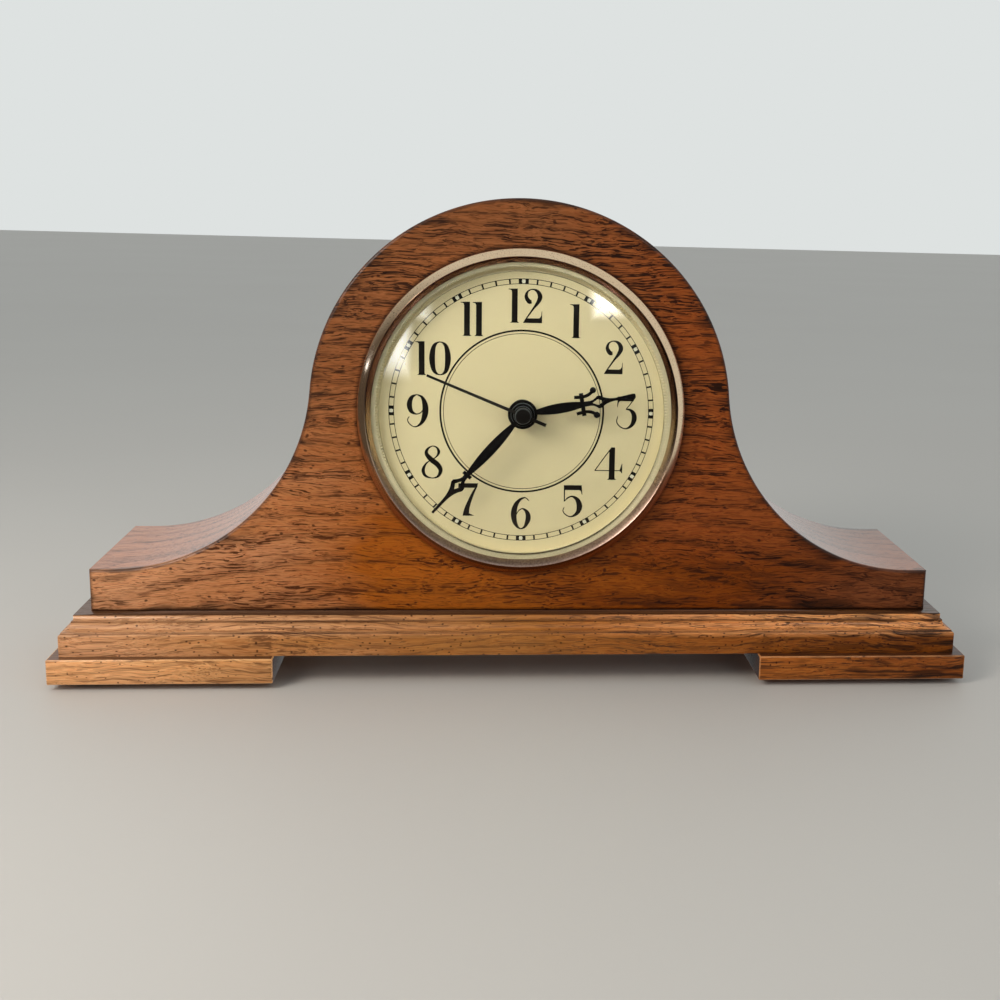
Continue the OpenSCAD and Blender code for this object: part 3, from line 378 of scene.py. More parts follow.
# Plinth and feet
# One oak board with a cove moulded along its front and ends, on two wide blocks of the same oak, in a
# paler stain than the body. The long arrises are eased with sandpaper, and their pale tone is partly wear
# and partly painted highlight. The ends of the feet under the plinth are dull, and painted dark as painted
# shade.
foot_heart, foot_ring_mm = (30.0, 60.0, -90.0), 16.0
oak_plinth = stained_oak("pale stained oak moulding", "#B67D40", "#2A1206", (40.0, -120.0, -60.0), 14.0,
                         ("#DDAA80", "#A76628", "#96551A"), 0.4, 1.1, shaded_ledge_z=27.8,
                         shade_smudge=(90.0, 165.0, 60.0), length=2.2, specks=0.22, lit_pore_tone="#8E5C34", peck=2.2,
                         shaded_creases=(21.55, 25.2), wave=1.5,
                         # These two zones paint the cove and the moulding above it paler than the band, as
                         # painted light on upward faces
                         zones=[("#E5A266", 19.0, 21.5, 10.0, 90.0, -20.0, -36.0),
                                ("#CB9C74", 19.0, 21.5, 0.0, -110.0, -20.0, -36.0)])
oak_foot = stained_oak("pale stained oak block", "#C08A50", "#2E1408", foot_heart, foot_ring_mm,
                       ("#E5B07E", "#B36F2F", "#9D5923"), 0.4, 1.1, shaded_ledge_z=12.5,
                       shade_smudge=(80.0, 165.0, 60.0), length=3.0, specks=0.17, lit_pore_tone="#94623A", peck=2.2,
                       wave=1.0)
# The eased arrises are paler, partly from wear and partly as a painted highlight
worn_and_lit_arris_oak = stained_oak("oak arris worn and painted pale", "#D9A870", "#6B4526", foot_heart, foot_ring_mm,
                       ("#E6B88C", "#C98F5C", "#B07A48"), 0.5, 1.2, length=2.0, lit_pore_tone="#94623A")
# The inner ends of the feet are dull, and painted dark as painted shade under the plinth
shaded_oak_end = stained_oak("dull oak end painted dark as shade", "#46291A", "#1C0E08", foot_heart, foot_ring_mm,
                       ("#46291A", "#3C2114", "#38200F"), 0.0, 1.1)


def eased_copy(node, name, width, min_edge, angle_deg=50, steps=2, rim=None, below=math.inf):
    """A merged copy of a CAD node with its long outside corners eased; eased faces take finish 1.
    A rim is the round edge at a height in front of the case, in mm, and how much it is rounded. Only
    corners under the height called below are eased."""
    shape = bmesh.new()
    shape.from_mesh(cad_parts[node].data)
    bmesh.ops.remove_doubles(shape, verts=shape.verts, dist=0.001 * MM)
    bmesh.ops.dissolve_limit(shape, angle_limit=math.radians(0.4), verts=shape.verts, edges=shape.edges)
    for face in shape.faces:
        face.material_index = 0
    if rim:
        level = front_y - rim[0] * MM
        edges = [e for e in shape.edges if all(abs(v.co.y - level) < 0.01 * MM for v in e.verts)
                 and e.calc_face_angle(0) > 1]
        bmesh.ops.bevel(shape, geom=edges, offset=rim[1] * MM, segments=5, profile=0.5,
                        affect="EDGES", clamp_overlap=True)
    corners = [e for e in shape.edges if len(e.link_faces) == 2 and e.is_convex
               and e.calc_face_angle() > math.radians(angle_deg) and e.calc_length() > min_edge
               and max(v.co.z for v in e.verts) < below]
    eased = bmesh.ops.bevel(shape, geom=corners, offset=width, segments=steps, profile=0.5,
                            affect="EDGES", clamp_overlap=True)
    for face in eased["faces"]:
        face.material_index = 1
    bmesh.ops.triangulate(shape, faces=[f for f in shape.faces if len(f.verts) > 4])
    return smooth_mesh(name, shape)


plinth_board = eased_copy("plinth", "plinth_board", 0.35 * MM, 2 * MM, below=body_foot - 0.1 * MM)
make_piece("plinth_board", plinth_board, [oak_plinth, worn_and_lit_arris_oak], "case", "oak_base", "plinth")
for side in ("left_foot", "right_foot"):
    block = make_piece(side + "_block", eased_copy(side, side + "_block", 0.5 * MM, 6 * MM),
                       [oak_foot, worn_and_lit_arris_oak, shaded_oak_end], "case", "oak_base", side)
    # Faces turned inward take the dark finish painted as shade
    for face in block.data.polygons:
        inward = -math.copysign(1.0, face.center.x)
        if face.material_index == 0 and face.normal.x * inward > 0.99:
            face.material_index = 2

# Pads and wood screws under the base
# Black rubber pads keep the feet off the table. Plated countersunk screws come up through the feet
# and the plinth; their cross recesses are cut in the heads.


def mottled(name, dark, light, per_mm, strength=0.0, depth=0.0, detail=2.0, **sockets):
    """A finish in two close tones, with so many mottles to the millimetre. Where it has a strength, it
    can be felt to a depth in metres"""
    material, tree, shader = new_finish(name, **sockets)
    place = put(tree, "ShaderNodeTexCoord").outputs["Object"]
    mottle = put(tree, "ShaderNodeTexNoise", {"Vector": place, "Scale": 1000.0 * per_mm,
                                              "Detail": detail})
    shade = put(tree, "ShaderNodeMix", {0: mottle, 6: srgb(dark), 7: srgb(light)}, data_type="RGBA")
    feed(shader, {"Base Color": shade})
    if strength:
        relief = put(tree, "ShaderNodeBump", {"Height": mottle, "Strength": strength, "Distance": depth})
        feed(shader, {"Normal": relief})
    return material


# The rubber is a dull black with a fine moulded grain
rubber = mottled("black foot rubber", "#0D0D0D", "#262524", 0.9, 0.4, 0.1 * MM, 3.0, Roughness=0.75,
                 IOR=1.52)
make_piece("foot_pad_rubbers", eased_copy("foot_pads", "foot_pad_rubbers", 0.4 * MM, 0.1 * MM),
           [rubber, rubber], "case", "rubber", "foot_pads")


def dress(node, material):
    """Gives a carried-over CAD node its finish"""
    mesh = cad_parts[node].data
    mesh.materials.clear()
    mesh.materials.append(material)


def turned_metal(name, colour, deep, roughness, per_mm):
    """Metal with fine tool marks: the lines are drawn a little coarser than real, so they show"""
    material, tree, shader = new_finish(name, Metallic=1.0)
    place = put(tree, "ShaderNodeTexCoord").outputs["Object"]
    marks = put(tree, "ShaderNodeTexNoise", {"Vector": place, "Scale": 1000.0 * per_mm, "Detail": 3.0})
    shade = put(tree, "ShaderNodeMix", {0: marks, 6: srgb(deep), 7: srgb(colour)}, data_type="RGBA")
    polish = put(tree, "ShaderNodeMapRange", {"Value": marks, "To Min": roughness * 0.8,
                                              "To Max": roughness * 1.3})
    feed(shader, {"Base Color": shade, "Roughness": polish})
    return material


# Zinc plating gives the screws a bright, faintly blue grey
plated_steel = turned_metal("zinc plated steel", "#C9CCD0", "#9EA2A8", 0.3, 1.5)
dress("case_screws", plated_steel)
dress("foot_screws", plated_steel)

# Bezel
# A ring turned from brass with two facets that meet in a sharp ridge, polished and lacquered to a
# pale champagne. Its skirt enters the bore and its flange covers the bore's edge.


def turned(name, profile, steps=288, sharp_deg=28):
    """A solid of revolution about the dial's axis, from a closed outline of (radius, height) in mm,
    where height is measured out of the case front"""
    shape = bmesh.new()
    loops = []
    for r, h in profile:
        y = front_y - h * MM
        if r < 1e-6:
            loops.append([shape.verts.new((0, y, dial_z))])
            continue
        turns = [2 * math.pi * i / steps for i in range(steps)]
        loops.append([shape.verts.new((r * MM * math.cos(t), y, dial_z + r * MM * math.sin(t)))
                      for t in turns])
    for a, b in zip(loops, loops[1:] + loops[:1]):
        for i in range(steps):
            j = (i + 1) % steps
            if len(a) == 1 and len(b) == 1:
                break
            if len(a) == 1:
                shape.faces.new((a[0], b[j], b[i]))
            elif len(b) == 1:
                shape.faces.new((a[i], a[j], b[0]))
            else:
                shape.faces.new((a[i], a[j], b[j], b[i]))
    return smooth_mesh(name, shape, sharp_deg)


champagne, tree, shader = new_finish("polished lacquered brass", Metallic=1.0, Coat_Weight=0.3,
                                     Coat_Roughness=0.08)
place = put(tree, "ShaderNodeTexCoord").outputs["Object"]
from_middle = put(tree, "ShaderNodeVectorMath", {0: place, 1: (0, 0, dial_z)}, operation="SUBTRACT")
from_middle = put(tree, "ShaderNodeVectorMath", {0: from_middle, 1: (1000, 0, 1000)},
                  operation="MULTIPLY")
reach = put(tree, "ShaderNodeVectorMath", {0: from_middle}, operation="LENGTH")
height = put(tree, "ShaderNodeSeparateXYZ", {0: from_middle}).outputs[2]
haze = put(tree, "ShaderNodeTexNoise", {"Vector": place, "Scale": 60.0, "Detail": 4.0})
shade = put(tree, "ShaderNodeMix", {0: haze, 6: srgb("#DDC09A"), 7: srgb("#EACFAE")}, data_type="RGBA")
# Fine dark spots have come through the lacquer. It is painted rosier towards the foot, as a painted
# reflection
specks = put(tree, "ShaderNodeTexNoise", {"Vector": place, "Scale": 2600.0, "Detail": 2.0})
spotted = put(tree, "ShaderNodeMapRange", {"Value": specks, "From Min": 0.6, "From Max": 0.7})
shade = put(tree, "ShaderNodeMix", {0: spotted, 6: shade, 7: srgb("#8E6F55")}, data_type="RGBA")
level = put(tree, "ShaderNodeSeparateXYZ", {0: place}).outputs[2]
low = put(tree, "ShaderNodeMapRange", {"Value": level, "From Min": dial_z - 10 * MM,
                                       "From Max": dial_z - 45 * MM, "To Max": 0.65})
shade = put(tree, "ShaderNodeMix", {0: low, 6: shade, 7: srgb("#A98175")}, data_type="RGBA")
# The inner facet is painted dark brown, most at the top, as a painted dark reflection
ridge_r, ridge_h = 60.5, 5.88
inside = put(tree, "ShaderNodeMapRange", {"Value": reach, "From Min": ridge_r + 0.12,
                                          "From Max": ridge_r})
upper = put(tree, "ShaderNodeMapRange", {"Value": height, "From Min": -18.0, "From Max": 8.0,
                                         "To Min": 0.1, "To Max": 0.94})
brown = put(tree, "ShaderNodeMath", {0: inside, 1: upper}, operation="MULTIPLY")
shade = put(tree, "ShaderNodeMix", {0: brown, 6: shade, 7: srgb("#501F16")}, data_type="RGBA")
# Its lower half is rougher, and painted a pitted silvery grey as a painted reflection
lower = put(tree, "ShaderNodeMapRange", {"Value": height, "From Min": -8.0, "From Max": -34.0})
dull = put(tree, "ShaderNodeMath", {0: inside, 1: lower}, operation="MULTIPLY")
pits = put(tree, "ShaderNodeTexNoise", {"Vector": place, "Scale": 1300.0, "Detail": 3.0})
silver = put(tree, "ShaderNodeMix", {0: pits, 6: srgb("#644A40"), 7: srgb("#C0A696")},
             data_type="RGBA")
shade = put(tree, "ShaderNodeMix", {0: dull, 6: shade, 7: silver}, data_type="RGBA")
polish = put(tree, "ShaderNodeMapRange", {"Value": haze, "From Min": 0.3, "From Max": 0.7,
                                          "To Min": 0.09, "To Max": 0.2})
polish = put(tree, "ShaderNodeMath", {0: dull, 1: 0.2, 2: polish}, operation="MULTIPLY_ADD")
feed(shader, {"Base Color": shade, "Roughness": polish})
# From the skirt over the flange and the ridge to the glass's seat, as (radius, height) in mm
skirt_r, flange_r, opening_r, seat_r, seat_h, skirt_h = 59.9, 63.5, 58.2, 59.23, 2.64, -6.0
bezel_profile = [(skirt_r, skirt_h), (skirt_r, 0.0), (flange_r - 0.15, 0.0), (flange_r, 0.15),
                 (flange_r, 2.75), (63.42, 2.98), (63.25, 3.2), (60.62, 5.8), (ridge_r, ridge_h),
                 (60.36, 5.8), (60.28, 5.74), (58.32, 3.38), (opening_r, 3.15), (opening_r, seat_h),
                 (seat_r, seat_h), (seat_r, skirt_h)]
make_piece("brass_bezel", turned("brass_bezel", bezel_profile), [champagne], "clock_insert",
           "bezel_brass", "bezel")

# Crystal
# A pressed mineral glass: a steep bevelled band rises from the rim to a crease, and a shallow dome
# closes it. Both faces are fire-polished. Lamps shine through it, as they do through real glass.
glass, tree, shader = new_finish("clear mineral glass", Base_Color=srgb("#F7FAF6"), Roughness=0.0,
                                 IOR=1.52, Transmission_Weight=1.0)
shadow = put(tree, "ShaderNodeLightPath").outputs["Is Shadow Ray"]
clear = put(tree, "ShaderNodeBsdfTransparent", {"Color": srgb("#F2F4F1")})
mixed = put(tree, "ShaderNodeMixShader", {0: shadow, 1: shader, 2: clear})
feed(tree.nodes["Material Output"], {"Surface": mixed})
# The crease between bevel and dome is rough, and painted as an olive hairline, a painted shade line
crease_shade_line = mottled("glass crease painted as shade line", "#77714C", "#8E8862", 0.7, Roughness=0.6, IOR=1.52)


def dome(radius, crease_h, crown_h, steps=40):
    """Heights of a shallow dome from its crease to its crown, as (radius, height)"""
    rise = crown_h - crease_h
    ball = (radius ** 2 + rise ** 2) / (2 * rise)
    radii = [radius * (1 - i / steps) for i in range(steps + 1)]
    return [(r, crown_h - ball + math.sqrt(ball ** 2 - r ** 2)) for r in radii]


glass_rim_r, glass_foot_h, crown_h, inner_crown_h = 59.2, 1.25, 13.38, 12.18
crease_in, crease_out = (54.82, 6.62), (54.99, 6.49)
crystal_profile = [(glass_rim_r, glass_foot_h), (glass_rim_r, 2.62), (58.1, 2.62), (58.02, 2.75)]
crystal_profile += [crease_out] + dome(*crease_in, crown_h)
crystal_profile += list(reversed(dome(54.75, 5.4, inner_crown_h))) + [(58.0, glass_foot_h)]
glass_mesh = turned("watch_glass", crystal_profile, 288, 20)
# The crease faces take the painted shade line
for face in glass_mesh.polygons:
    level = (front_y - face.center.y) / MM
    far = Vector((face.center.x, face.center.z - dial_z)).length / MM
    on_crease = level > crease_out[1] - 0.09 and crease_in[0] + 0.03 < far < crease_out[0] - 0.01
    face.material_index = 1 if on_crease else 0
make_piece("watch_glass", glass_mesh, [glass, crease_shade_line], "clock_insert", "crystal_glass", "crystal")

# Dial and its spacer ring
# A steel plate printed matte cream. A moulded cream ring with fine ribs spaces the glass off it, and
# shows through the glass's bevel as a ribbed band.
# The paint is a flat cream with a faint tooth, a little yellowed in large patches
cream, tree, shader = new_finish("matte cream dial paint", Roughness=0.5, IOR=1.46, Coat_Weight=0.1,
                                 Coat_Roughness=0.3)
place = put(tree, "ShaderNodeTexCoord").outputs["Object"]
tooth = put(tree, "ShaderNodeTexNoise", {"Vector": place, "Scale": 2200.0, "Detail": 2.0})
age = put(tree, "ShaderNodeTexNoise", {"Vector": place, "Scale": 22.0, "Detail": 3.0})
shade = put(tree, "ShaderNodeMix", {0: age, 6: srgb("#E2D3AA"), 7: srgb("#E9DBB3")}, data_type="RGBA")
shade = put(tree, "ShaderNodeMix", {0: 0.06, 6: shade, 7: tooth.outputs["Color"]}, data_type="RGBA",
            blend_type="OVERLAY")
relief = put(tree, "ShaderNodeBump", {"Height": tooth, "Strength": 0.15, "Distance": 0.02 * MM})
feed(shader, {"Base Color": shade, "Normal": relief})
dress("dial", cream)

dial_h = -3.0
to_dial = Matrix.Translation((0, front_y, dial_z)) @ Matrix.Rotation(math.radians(90), 4, "X")


def grown(name, tree, values):
    """Runs a geometry tree on an empty mesh and returns the result as a plain mesh on the dial"""
    seed = bpy.data.objects.new(name + "_seed", bpy.data.meshes.new(name + "_seed"))
    bpy.context.scene.collection.objects.link(seed)
    modifier = seed.modifiers.new("grow", "NODES")
    modifier.node_group = tree
    for item in tree.interface.items_tree:
        if item.item_type == "SOCKET" and item.in_out == "INPUT" and item.name in values:
            modifier[item.identifier] = values[item.name]
    bpy.context.view_layer.update()
    shown = seed.evaluated_get(bpy.context.evaluated_depsgraph_get())
    mesh = bpy.data.meshes.new_from_object(shown)
    mesh.name = name
    seed.modifiers.remove(modifier)
    bpy.data.objects.remove(seed)
    mesh.transform(to_dial)
    mesh.materials.clear()
    return mesh


def spokes_tree(name, material, disc=False):
    """Small bars or discs set round a circle at a Level above the case front, with a Turn"""
    tree = bpy.data.node_groups.new(name, "GeometryNodeTree")
    tree.interface.new_socket("Count", in_out="INPUT", socket_type="NodeSocketInt")
    for label in ("Radius", "Length", "Width", "Height", "Level", "Turn"):
        tree.interface.new_socket(label, in_out="INPUT", socket_type="NodeSocketFloat")
    tree.interface.new_socket("Geometry", in_out="OUTPUT", socket_type="NodeSocketGeometry")
    start = put(tree, "NodeGroupInput").outputs
    size = put(tree, "ShaderNodeCombineXYZ", {0: start["Length"], 1: start["Width"], 2: start["Height"]})
    bar = put(tree, "GeometryNodeMeshCube", {"Size": size})
    if disc:
        half = put(tree, "ShaderNodeMath", {0: start["Width"], 1: 0.5}, operation="MULTIPLY")
        bar = put(tree, "GeometryNodeMeshCylinder", {"Vertices": 24, "Radius": half,
                                                     "Depth": start["Height"]})
    circle = put(tree, "GeometryNodeMeshCircle", {"Vertices": start["Count"], "Radius": start["Radius"]})
    spot = put(tree, "GeometryNodeInputPosition")
    along = put(tree, "FunctionNodeAlignRotationToVector", {"Vector": spot}, axis="X", pivot_axis="Z")
    placed = put(tree, "GeometryNodeInstanceOnPoints", {"Points": circle, "Instance": bar,
                                                        "Rotation": along})
    solid = put(tree, "GeometryNodeRealizeInstances", {0: placed})
    lift = put(tree, "ShaderNodeCombineXYZ", {2: start["Level"]})
    turn = put(tree, "ShaderNodeCombineXYZ", {2: start["Turn"]})
    moved = put(tree, "GeometryNodeTransform", {"Geometry": solid, "Translation": lift,
                                                "Rotation": turn})
    dressed = put(tree, "GeometryNodeSetMaterial", {"Geometry": moved, "Material": material})
    put(tree, "NodeGroupOutput", {0: dressed})
    return tree


ring_white = mottled("cream moulded polystyrene", "#E2D6B2", "#EADFC0", 0.4, Roughness=0.4, IOR=1.58)
ring_top = 1.0
ring_profile = [(56.4, dial_h), (59.2, dial_h), (59.2, 1.24), (58.1, 1.24), (58.0, ring_top),
                (56.5, ring_top)]
make_piece("spacer_ring", turned("spacer_ring", ring_profile, 240), [ring_white], "clock_insert",
           "nylon", "dial_ring")
rib_tree = spokes_tree("spacer_ribs", ring_white)
ribs = grown("spacer_ribs", rib_tree, {"Count": 300, "Radius": 57.05 * MM, "Length": 1.8 * MM,
                                       "Width": 0.55 * MM, "Height": 4.1 * MM, "Level": -0.85 * MM})
make_piece("spacer_ribs", ribs, [ring_white], "clock_insert", "nylon")

# Printed minute track and circles
# Black ink, screen printed on the cream: two hairlines joined by sixty rungs, with a pair of blocks
# and a small pale dot at every fifth minute, and a thick and a thin circle inside the numerals.
ink = mottled("black screen ink", "#080503", "#120D09", 1.5, Roughness=0.5, Specular_IOR_Level=0.15)
ink_h = 0.03


def printed_circle(name, radius, width):
    """A circle of ink lying on the dial"""
    inner, outer = radius - width / 2, radius + width / 2
    profile = [(inner, dial_h), (outer, dial_h), (outer, dial_h + ink_h), (inner, dial_h + ink_h)]
    make_piece(name, turned(name, profile, 240), [ink], "clock_insert", "hand_black")


track_in, track_out, hairline = 49.7, 51.6, 0.24
printed_circle("track_inner_line", track_in, hairline)
printed_circle("track_outer_line", track_out, hairline)
printed_circle("chapter_thick_line", 31.8, 0.72)
printed_circle("chapter_thin_line", 30.6, 0.25)
mark_mid = (track_in + track_out) / 2
mark = {"Radius": mark_mid * MM, "Height": ink_h * MM, "Level": (dial_h + ink_h / 2) * MM}
mark_tree = spokes_tree("track_marks", ink)
rungs = grown("track_rungs", mark_tree, {**mark, "Count": 60, "Length": 1.9 * MM, "Width": 0.66 * MM})
make_piece("track_rungs", rungs, [ink], "clock_insert", "hand_black")
block_off = 1.25
for way, name in ((-1, "track_blocks_before"), (1, "track_blocks_after")):
    blocks = grown(name, mark_tree, {**mark, "Count": 12, "Length": 2.0 * MM, "Width": 1.35 * MM,
                                     "Height": 1.2 * ink_h * MM, "Turn": way * block_off / mark_mid})
    make_piece(name, blocks, [ink], "clock_insert", "hand_black")
pale_dot = mottled("pale dot paint", "#DEDBC6", "#F0EEDF", 1.8, Roughness=0.55, IOR=1.46)
dot_tree = spokes_tree("track_dots", pale_dot, disc=True)
dots = grown("track_dots", dot_tree, {**mark, "Count": 12, "Width": 1.45 * MM,
                                      "Height": 1.5 * ink_h * MM})
make_piece("track_dots", dots, [pale_dot], "clock_insert", "dial_cream")

# Printed numerals
# Black upright numerals with thick stems and hairline joins, printed with the track. Each is drawn
# here from swelling strokes and cut shapes, in shares of the numeral's height.
numeral_h, numeral_r = 13.1, 41.0
STROKES = {
    "0": [[(0.318, 0.983, 0.03), (0.146, 0.864, 0.113), (0.086, 0.5, 0.172), (0.146, 0.136, 0.113),
           (0.318, 0.017, 0.03), (0.49, 0.136, 0.113), (0.55, 0.5, 0.172), (0.49, 0.864, 0.113),
           (0.318, 0.983, 0.03)]],
    "2": [[(0.252, 0.626, 0.1), (0.176, 0.63, 0.128), (0.093, 0.767, 0.105), (0.137, 0.92, 0.054),
           (0.278, 0.985, 0.035), (0.425, 0.925, 0.096), (0.498, 0.776, 0.137), (0.444, 0.617, 0.109),
           (0.294, 0.409, 0.058), (0.086, 0.105, 0.035), (0.029, 0.019, 0.029)]],
    "3": [[(0.55, 0.95, 0.03), (0.42, 0.77, 0.03), (0.3, 0.612, 0.03)],
          [(0.297, 0.607, 0.026), (0.415, 0.601, 0.07), (0.527, 0.489, 0.134), (0.553, 0.313, 0.153),
           (0.479, 0.128, 0.102), (0.31, 0.026, 0.042), (0.137, 0.083, 0.035), (0.029, 0.224, 0.032),
           (0.054, 0.396, 0.026)]],
    "4": [[(0.5, 0.985, 0.032), (0.25, 0.635, 0.03), (0.012, 0.29, 0.03)]],
    "5": [[(0.065, 0.5, 0.024), (0.172, 0.607, 0.043), (0.304, 0.65, 0.053), (0.459, 0.554, 0.125),
           (0.528, 0.35, 0.172), (0.472, 0.152, 0.119), (0.294, 0.026, 0.046), (0.129, 0.073, 0.033),
           (0.03, 0.198, 0.03), (0.063, 0.314, 0.026)]],
    "6": [[(0.545, 0.892, 0.027), (0.428, 0.983, 0.037), (0.276, 0.926, 0.081), (0.148, 0.758, 0.141),
           (0.088, 0.505, 0.175), (0.118, 0.246, 0.141), (0.209, 0.077, 0.074), (0.31, 0.017, 0.034)],
          [(0.31, 0.017, 0.034), (0.428, 0.091, 0.081), (0.522, 0.32, 0.155), (0.495, 0.522, 0.121),
           (0.364, 0.643, 0.044), (0.242, 0.589, 0.03), (0.168, 0.468, 0.027)]],
    "7": [[(0.43, 0.93, 0.041), (0.32, 0.728, 0.075), (0.19, 0.415, 0.116), (0.116, 0.177, 0.156),
           (0.095, 0.003, 0.197)]],
    "8": [[(0.323, 0.983, 0.03), (0.185, 0.894, 0.073), (0.152, 0.752, 0.112), (0.29, 0.578, 0.152),
           (0.472, 0.432, 0.152), (0.568, 0.257, 0.125), (0.495, 0.069, 0.073), (0.317, 0.013, 0.03),
           (0.119, 0.083, 0.079), (0.053, 0.257, 0.099), (0.139, 0.452, 0.053), (0.29, 0.561, 0.026),
           (0.449, 0.67, 0.046), (0.515, 0.809, 0.086), (0.455, 0.941, 0.053), (0.323, 0.983, 0.03)]],
    "9": [[(0.294, 0.984, 0.028), (0.15, 0.9, 0.106), (0.081, 0.694, 0.156), (0.131, 0.491, 0.119),
           (0.275, 0.403, 0.041), (0.412, 0.444, 0.031), (0.475, 0.531, 0.025)],
          [(0.294, 0.984, 0.028), (0.45, 0.906, 0.081), (0.544, 0.662, 0.169), (0.534, 0.375, 0.169),
           (0.431, 0.138, 0.094), (0.256, 0.019, 0.034), (0.1, 0.087, 0.031), (0.025, 0.219, 0.028),
           (0.075, 0.328, 0.025)]],
}
SHAPES = {
    "1": [[(0.0, 0.972), (0.05, 0.966), (0.09, 0.945), (0.102, 0.9), (0.102, 0.06), (0.09, 0.025),
           (0.06, 0.012), (0.06, 0.0), (0.315, 0.0), (0.315, 0.012), (0.284, 0.025), (0.272, 0.06),
           (0.272, 1.0), (0.0, 0.992)]],
    "2": [[(0.0, 0.0), (0.565, 0.0), (0.565, 0.345), (0.552, 0.345), (0.54, 0.22), (0.5, 0.15),
           (0.44, 0.137), (0.13, 0.137)]],
    "3": [[(0.04, 1.0), (0.575, 1.0), (0.52, 0.86), (0.11, 0.86), (0.07, 0.81), (0.05, 0.68),
           (0.03, 0.68)]],
    "4": [[(0.435, 0.05), (0.435, 0.9), (0.49, 1.0), (0.612, 1.0), (0.612, 0.05)],
          [(0.0, 0.27), (0.8, 0.27), (0.8, 0.298), (0.0, 0.298)],
          [(0.84, 0.19), (0.84, 0.5), (0.825, 0.5), (0.815, 0.4), (0.795, 0.32), (0.76, 0.298),
           (0.76, 0.27), (0.795, 0.25)],
          [(0.39, 0.0), (0.39, 0.012), (0.425, 0.028), (0.435, 0.08), (0.612, 0.08), (0.622, 0.028),
           (0.657, 0.012), (0.657, 0.0)]],
    "5": [[(0.045, 1.0), (0.585, 1.0), (0.61, 0.72), (0.59, 0.72), (0.57, 0.8), (0.53, 0.848),
           (0.08, 0.851)],
          [(0.042, 0.99), (0.05, 0.488), (0.08, 0.5), (0.085, 0.99)]],
    "7": [[(-0.13, 1.0), (0.465, 1.0), (0.4, 0.86), (-0.06, 0.86), (-0.1, 0.82), (-0.125, 0.72),
           (-0.145, 0.72)],
          [(0.0, 0.0), (0.33, 0.0), (0.33, 0.012), (0.26, 0.02), (0.2, 0.07), (0.03, 0.07)]],
}
# Each figure's width, and the gap that an hour of two figures has between them
SPANS = {"0": (0.0, 0.64), "1": (0.0, 0.315), "2": (0.0, 0.565), "3": (0.0, 0.63), "4": (0.0, 0.84),
         "5": (0.0, 0.615), "6": (0.0, 0.6), "7": (-0.145, 0.465), "8": (0.0, 0.63), "9": (0.0, 0.63)}
JOINTS = {"10": 0.09, "11": 0.035, "12": 0.115}


def prism(shape, outline, low, high):
    """A flat closed slab over an outline of (x, y)"""
    bottom = [shape.verts.new((x, y, low)) for x, y in outline]
    top = [shape.verts.new((x, y, high)) for x, y in outline]
    faces = [shape.faces.new(bottom), shape.faces.new(top)]
    for i in range(len(outline)):
        j = (i + 1) % len(outline)
        shape.faces.new((bottom[i], bottom[j], top[j], top[i]))
    bmesh.ops.triangulate(shape, faces=faces)


def swelling_stroke(points, steps=7):
    """Samples a curve through (x, y, width) points, and returns its outline"""
    padded = [points[0]] + list(points) + [points[-1]]
    if points[0] == points[-1]:
        padded[0], padded[-1] = points[-2], points[1]
    samples = []
    for a, b, c, d in zip(padded, padded[1:], padded[2:], padded[3:]):
        for i in range(steps):
            t = i / steps
            samples.append([0.5 * (2 * q + (r - p) * t + (2 * p - 5 * q + 4 * r - s) * t * t
                                   + (3 * q - p - 3 * r + s) * t ** 3) for p, q, r, s in zip(a, b, c, d)])
    samples.append(list(points[-1]))
    left, right = [], []
    for i, (x, y, width) in enumerate(samples):
        before, after = samples[max(i - 1, 0)], samples[min(i + 1, len(samples) - 1)]
        way = Vector((after[0] - before[0], after[1] - before[1])).normalized() * width / 2
        left.append((x - way.y, y + way.x))
        right.append((x + way.y, y - way.x))
    return left, right


def draw_numeral(shape, text, at):
    """Adds one hour's figures to a mesh, centred at (x, y) in mm from the dial's middle"""
    spans = [SPANS[c] for c in text]
    gap = JOINTS.get(text, 0.0)
    total = sum(b - a for a, b in spans) + gap
    x = at[0] - total * numeral_h / 2
    for c, (low, high) in zip(text, spans):
        shift = x - low * numeral_h

        def place(p):
            return ((shift + p[0] * numeral_h) * MM, (at[1] + (p[1] - 0.5) * numeral_h) * MM)

        # The parts of a figure overlap, so each lies a tenth of the ink's thickness higher
        parts = SHAPES.get(c, []) + STROKES.get(c, [])
        tops = [(dial_h + ink_h * (1 + 0.1 * k)) * MM for k in range(len(parts))]
        for outline in SHAPES.get(c, []):
            prism(shape, [place(p) for p in outline], dial_h * MM, tops.pop(0))
        for stroke in STROKES.get(c, []):
            left, right = swelling_stroke(stroke)
            top = tops.pop(0)
            rails = [[shape.verts.new((*place(p), h)) for p in side]
                     for side in (left, right) for h in (dial_h * MM, top)]
            for a, b in ((0, 1), (1, 3), (3, 2), (2, 0)):
                for i in range(len(left) - 1):
                    shape.faces.new((rails[a][i], rails[b][i], rails[b][i + 1], rails[a][i + 1]))
            for end in (0, -1):
                shape.faces.new([rails[k][end] for k in (0, 1, 3, 2)])
        x += (high - low + gap) * numeral_h


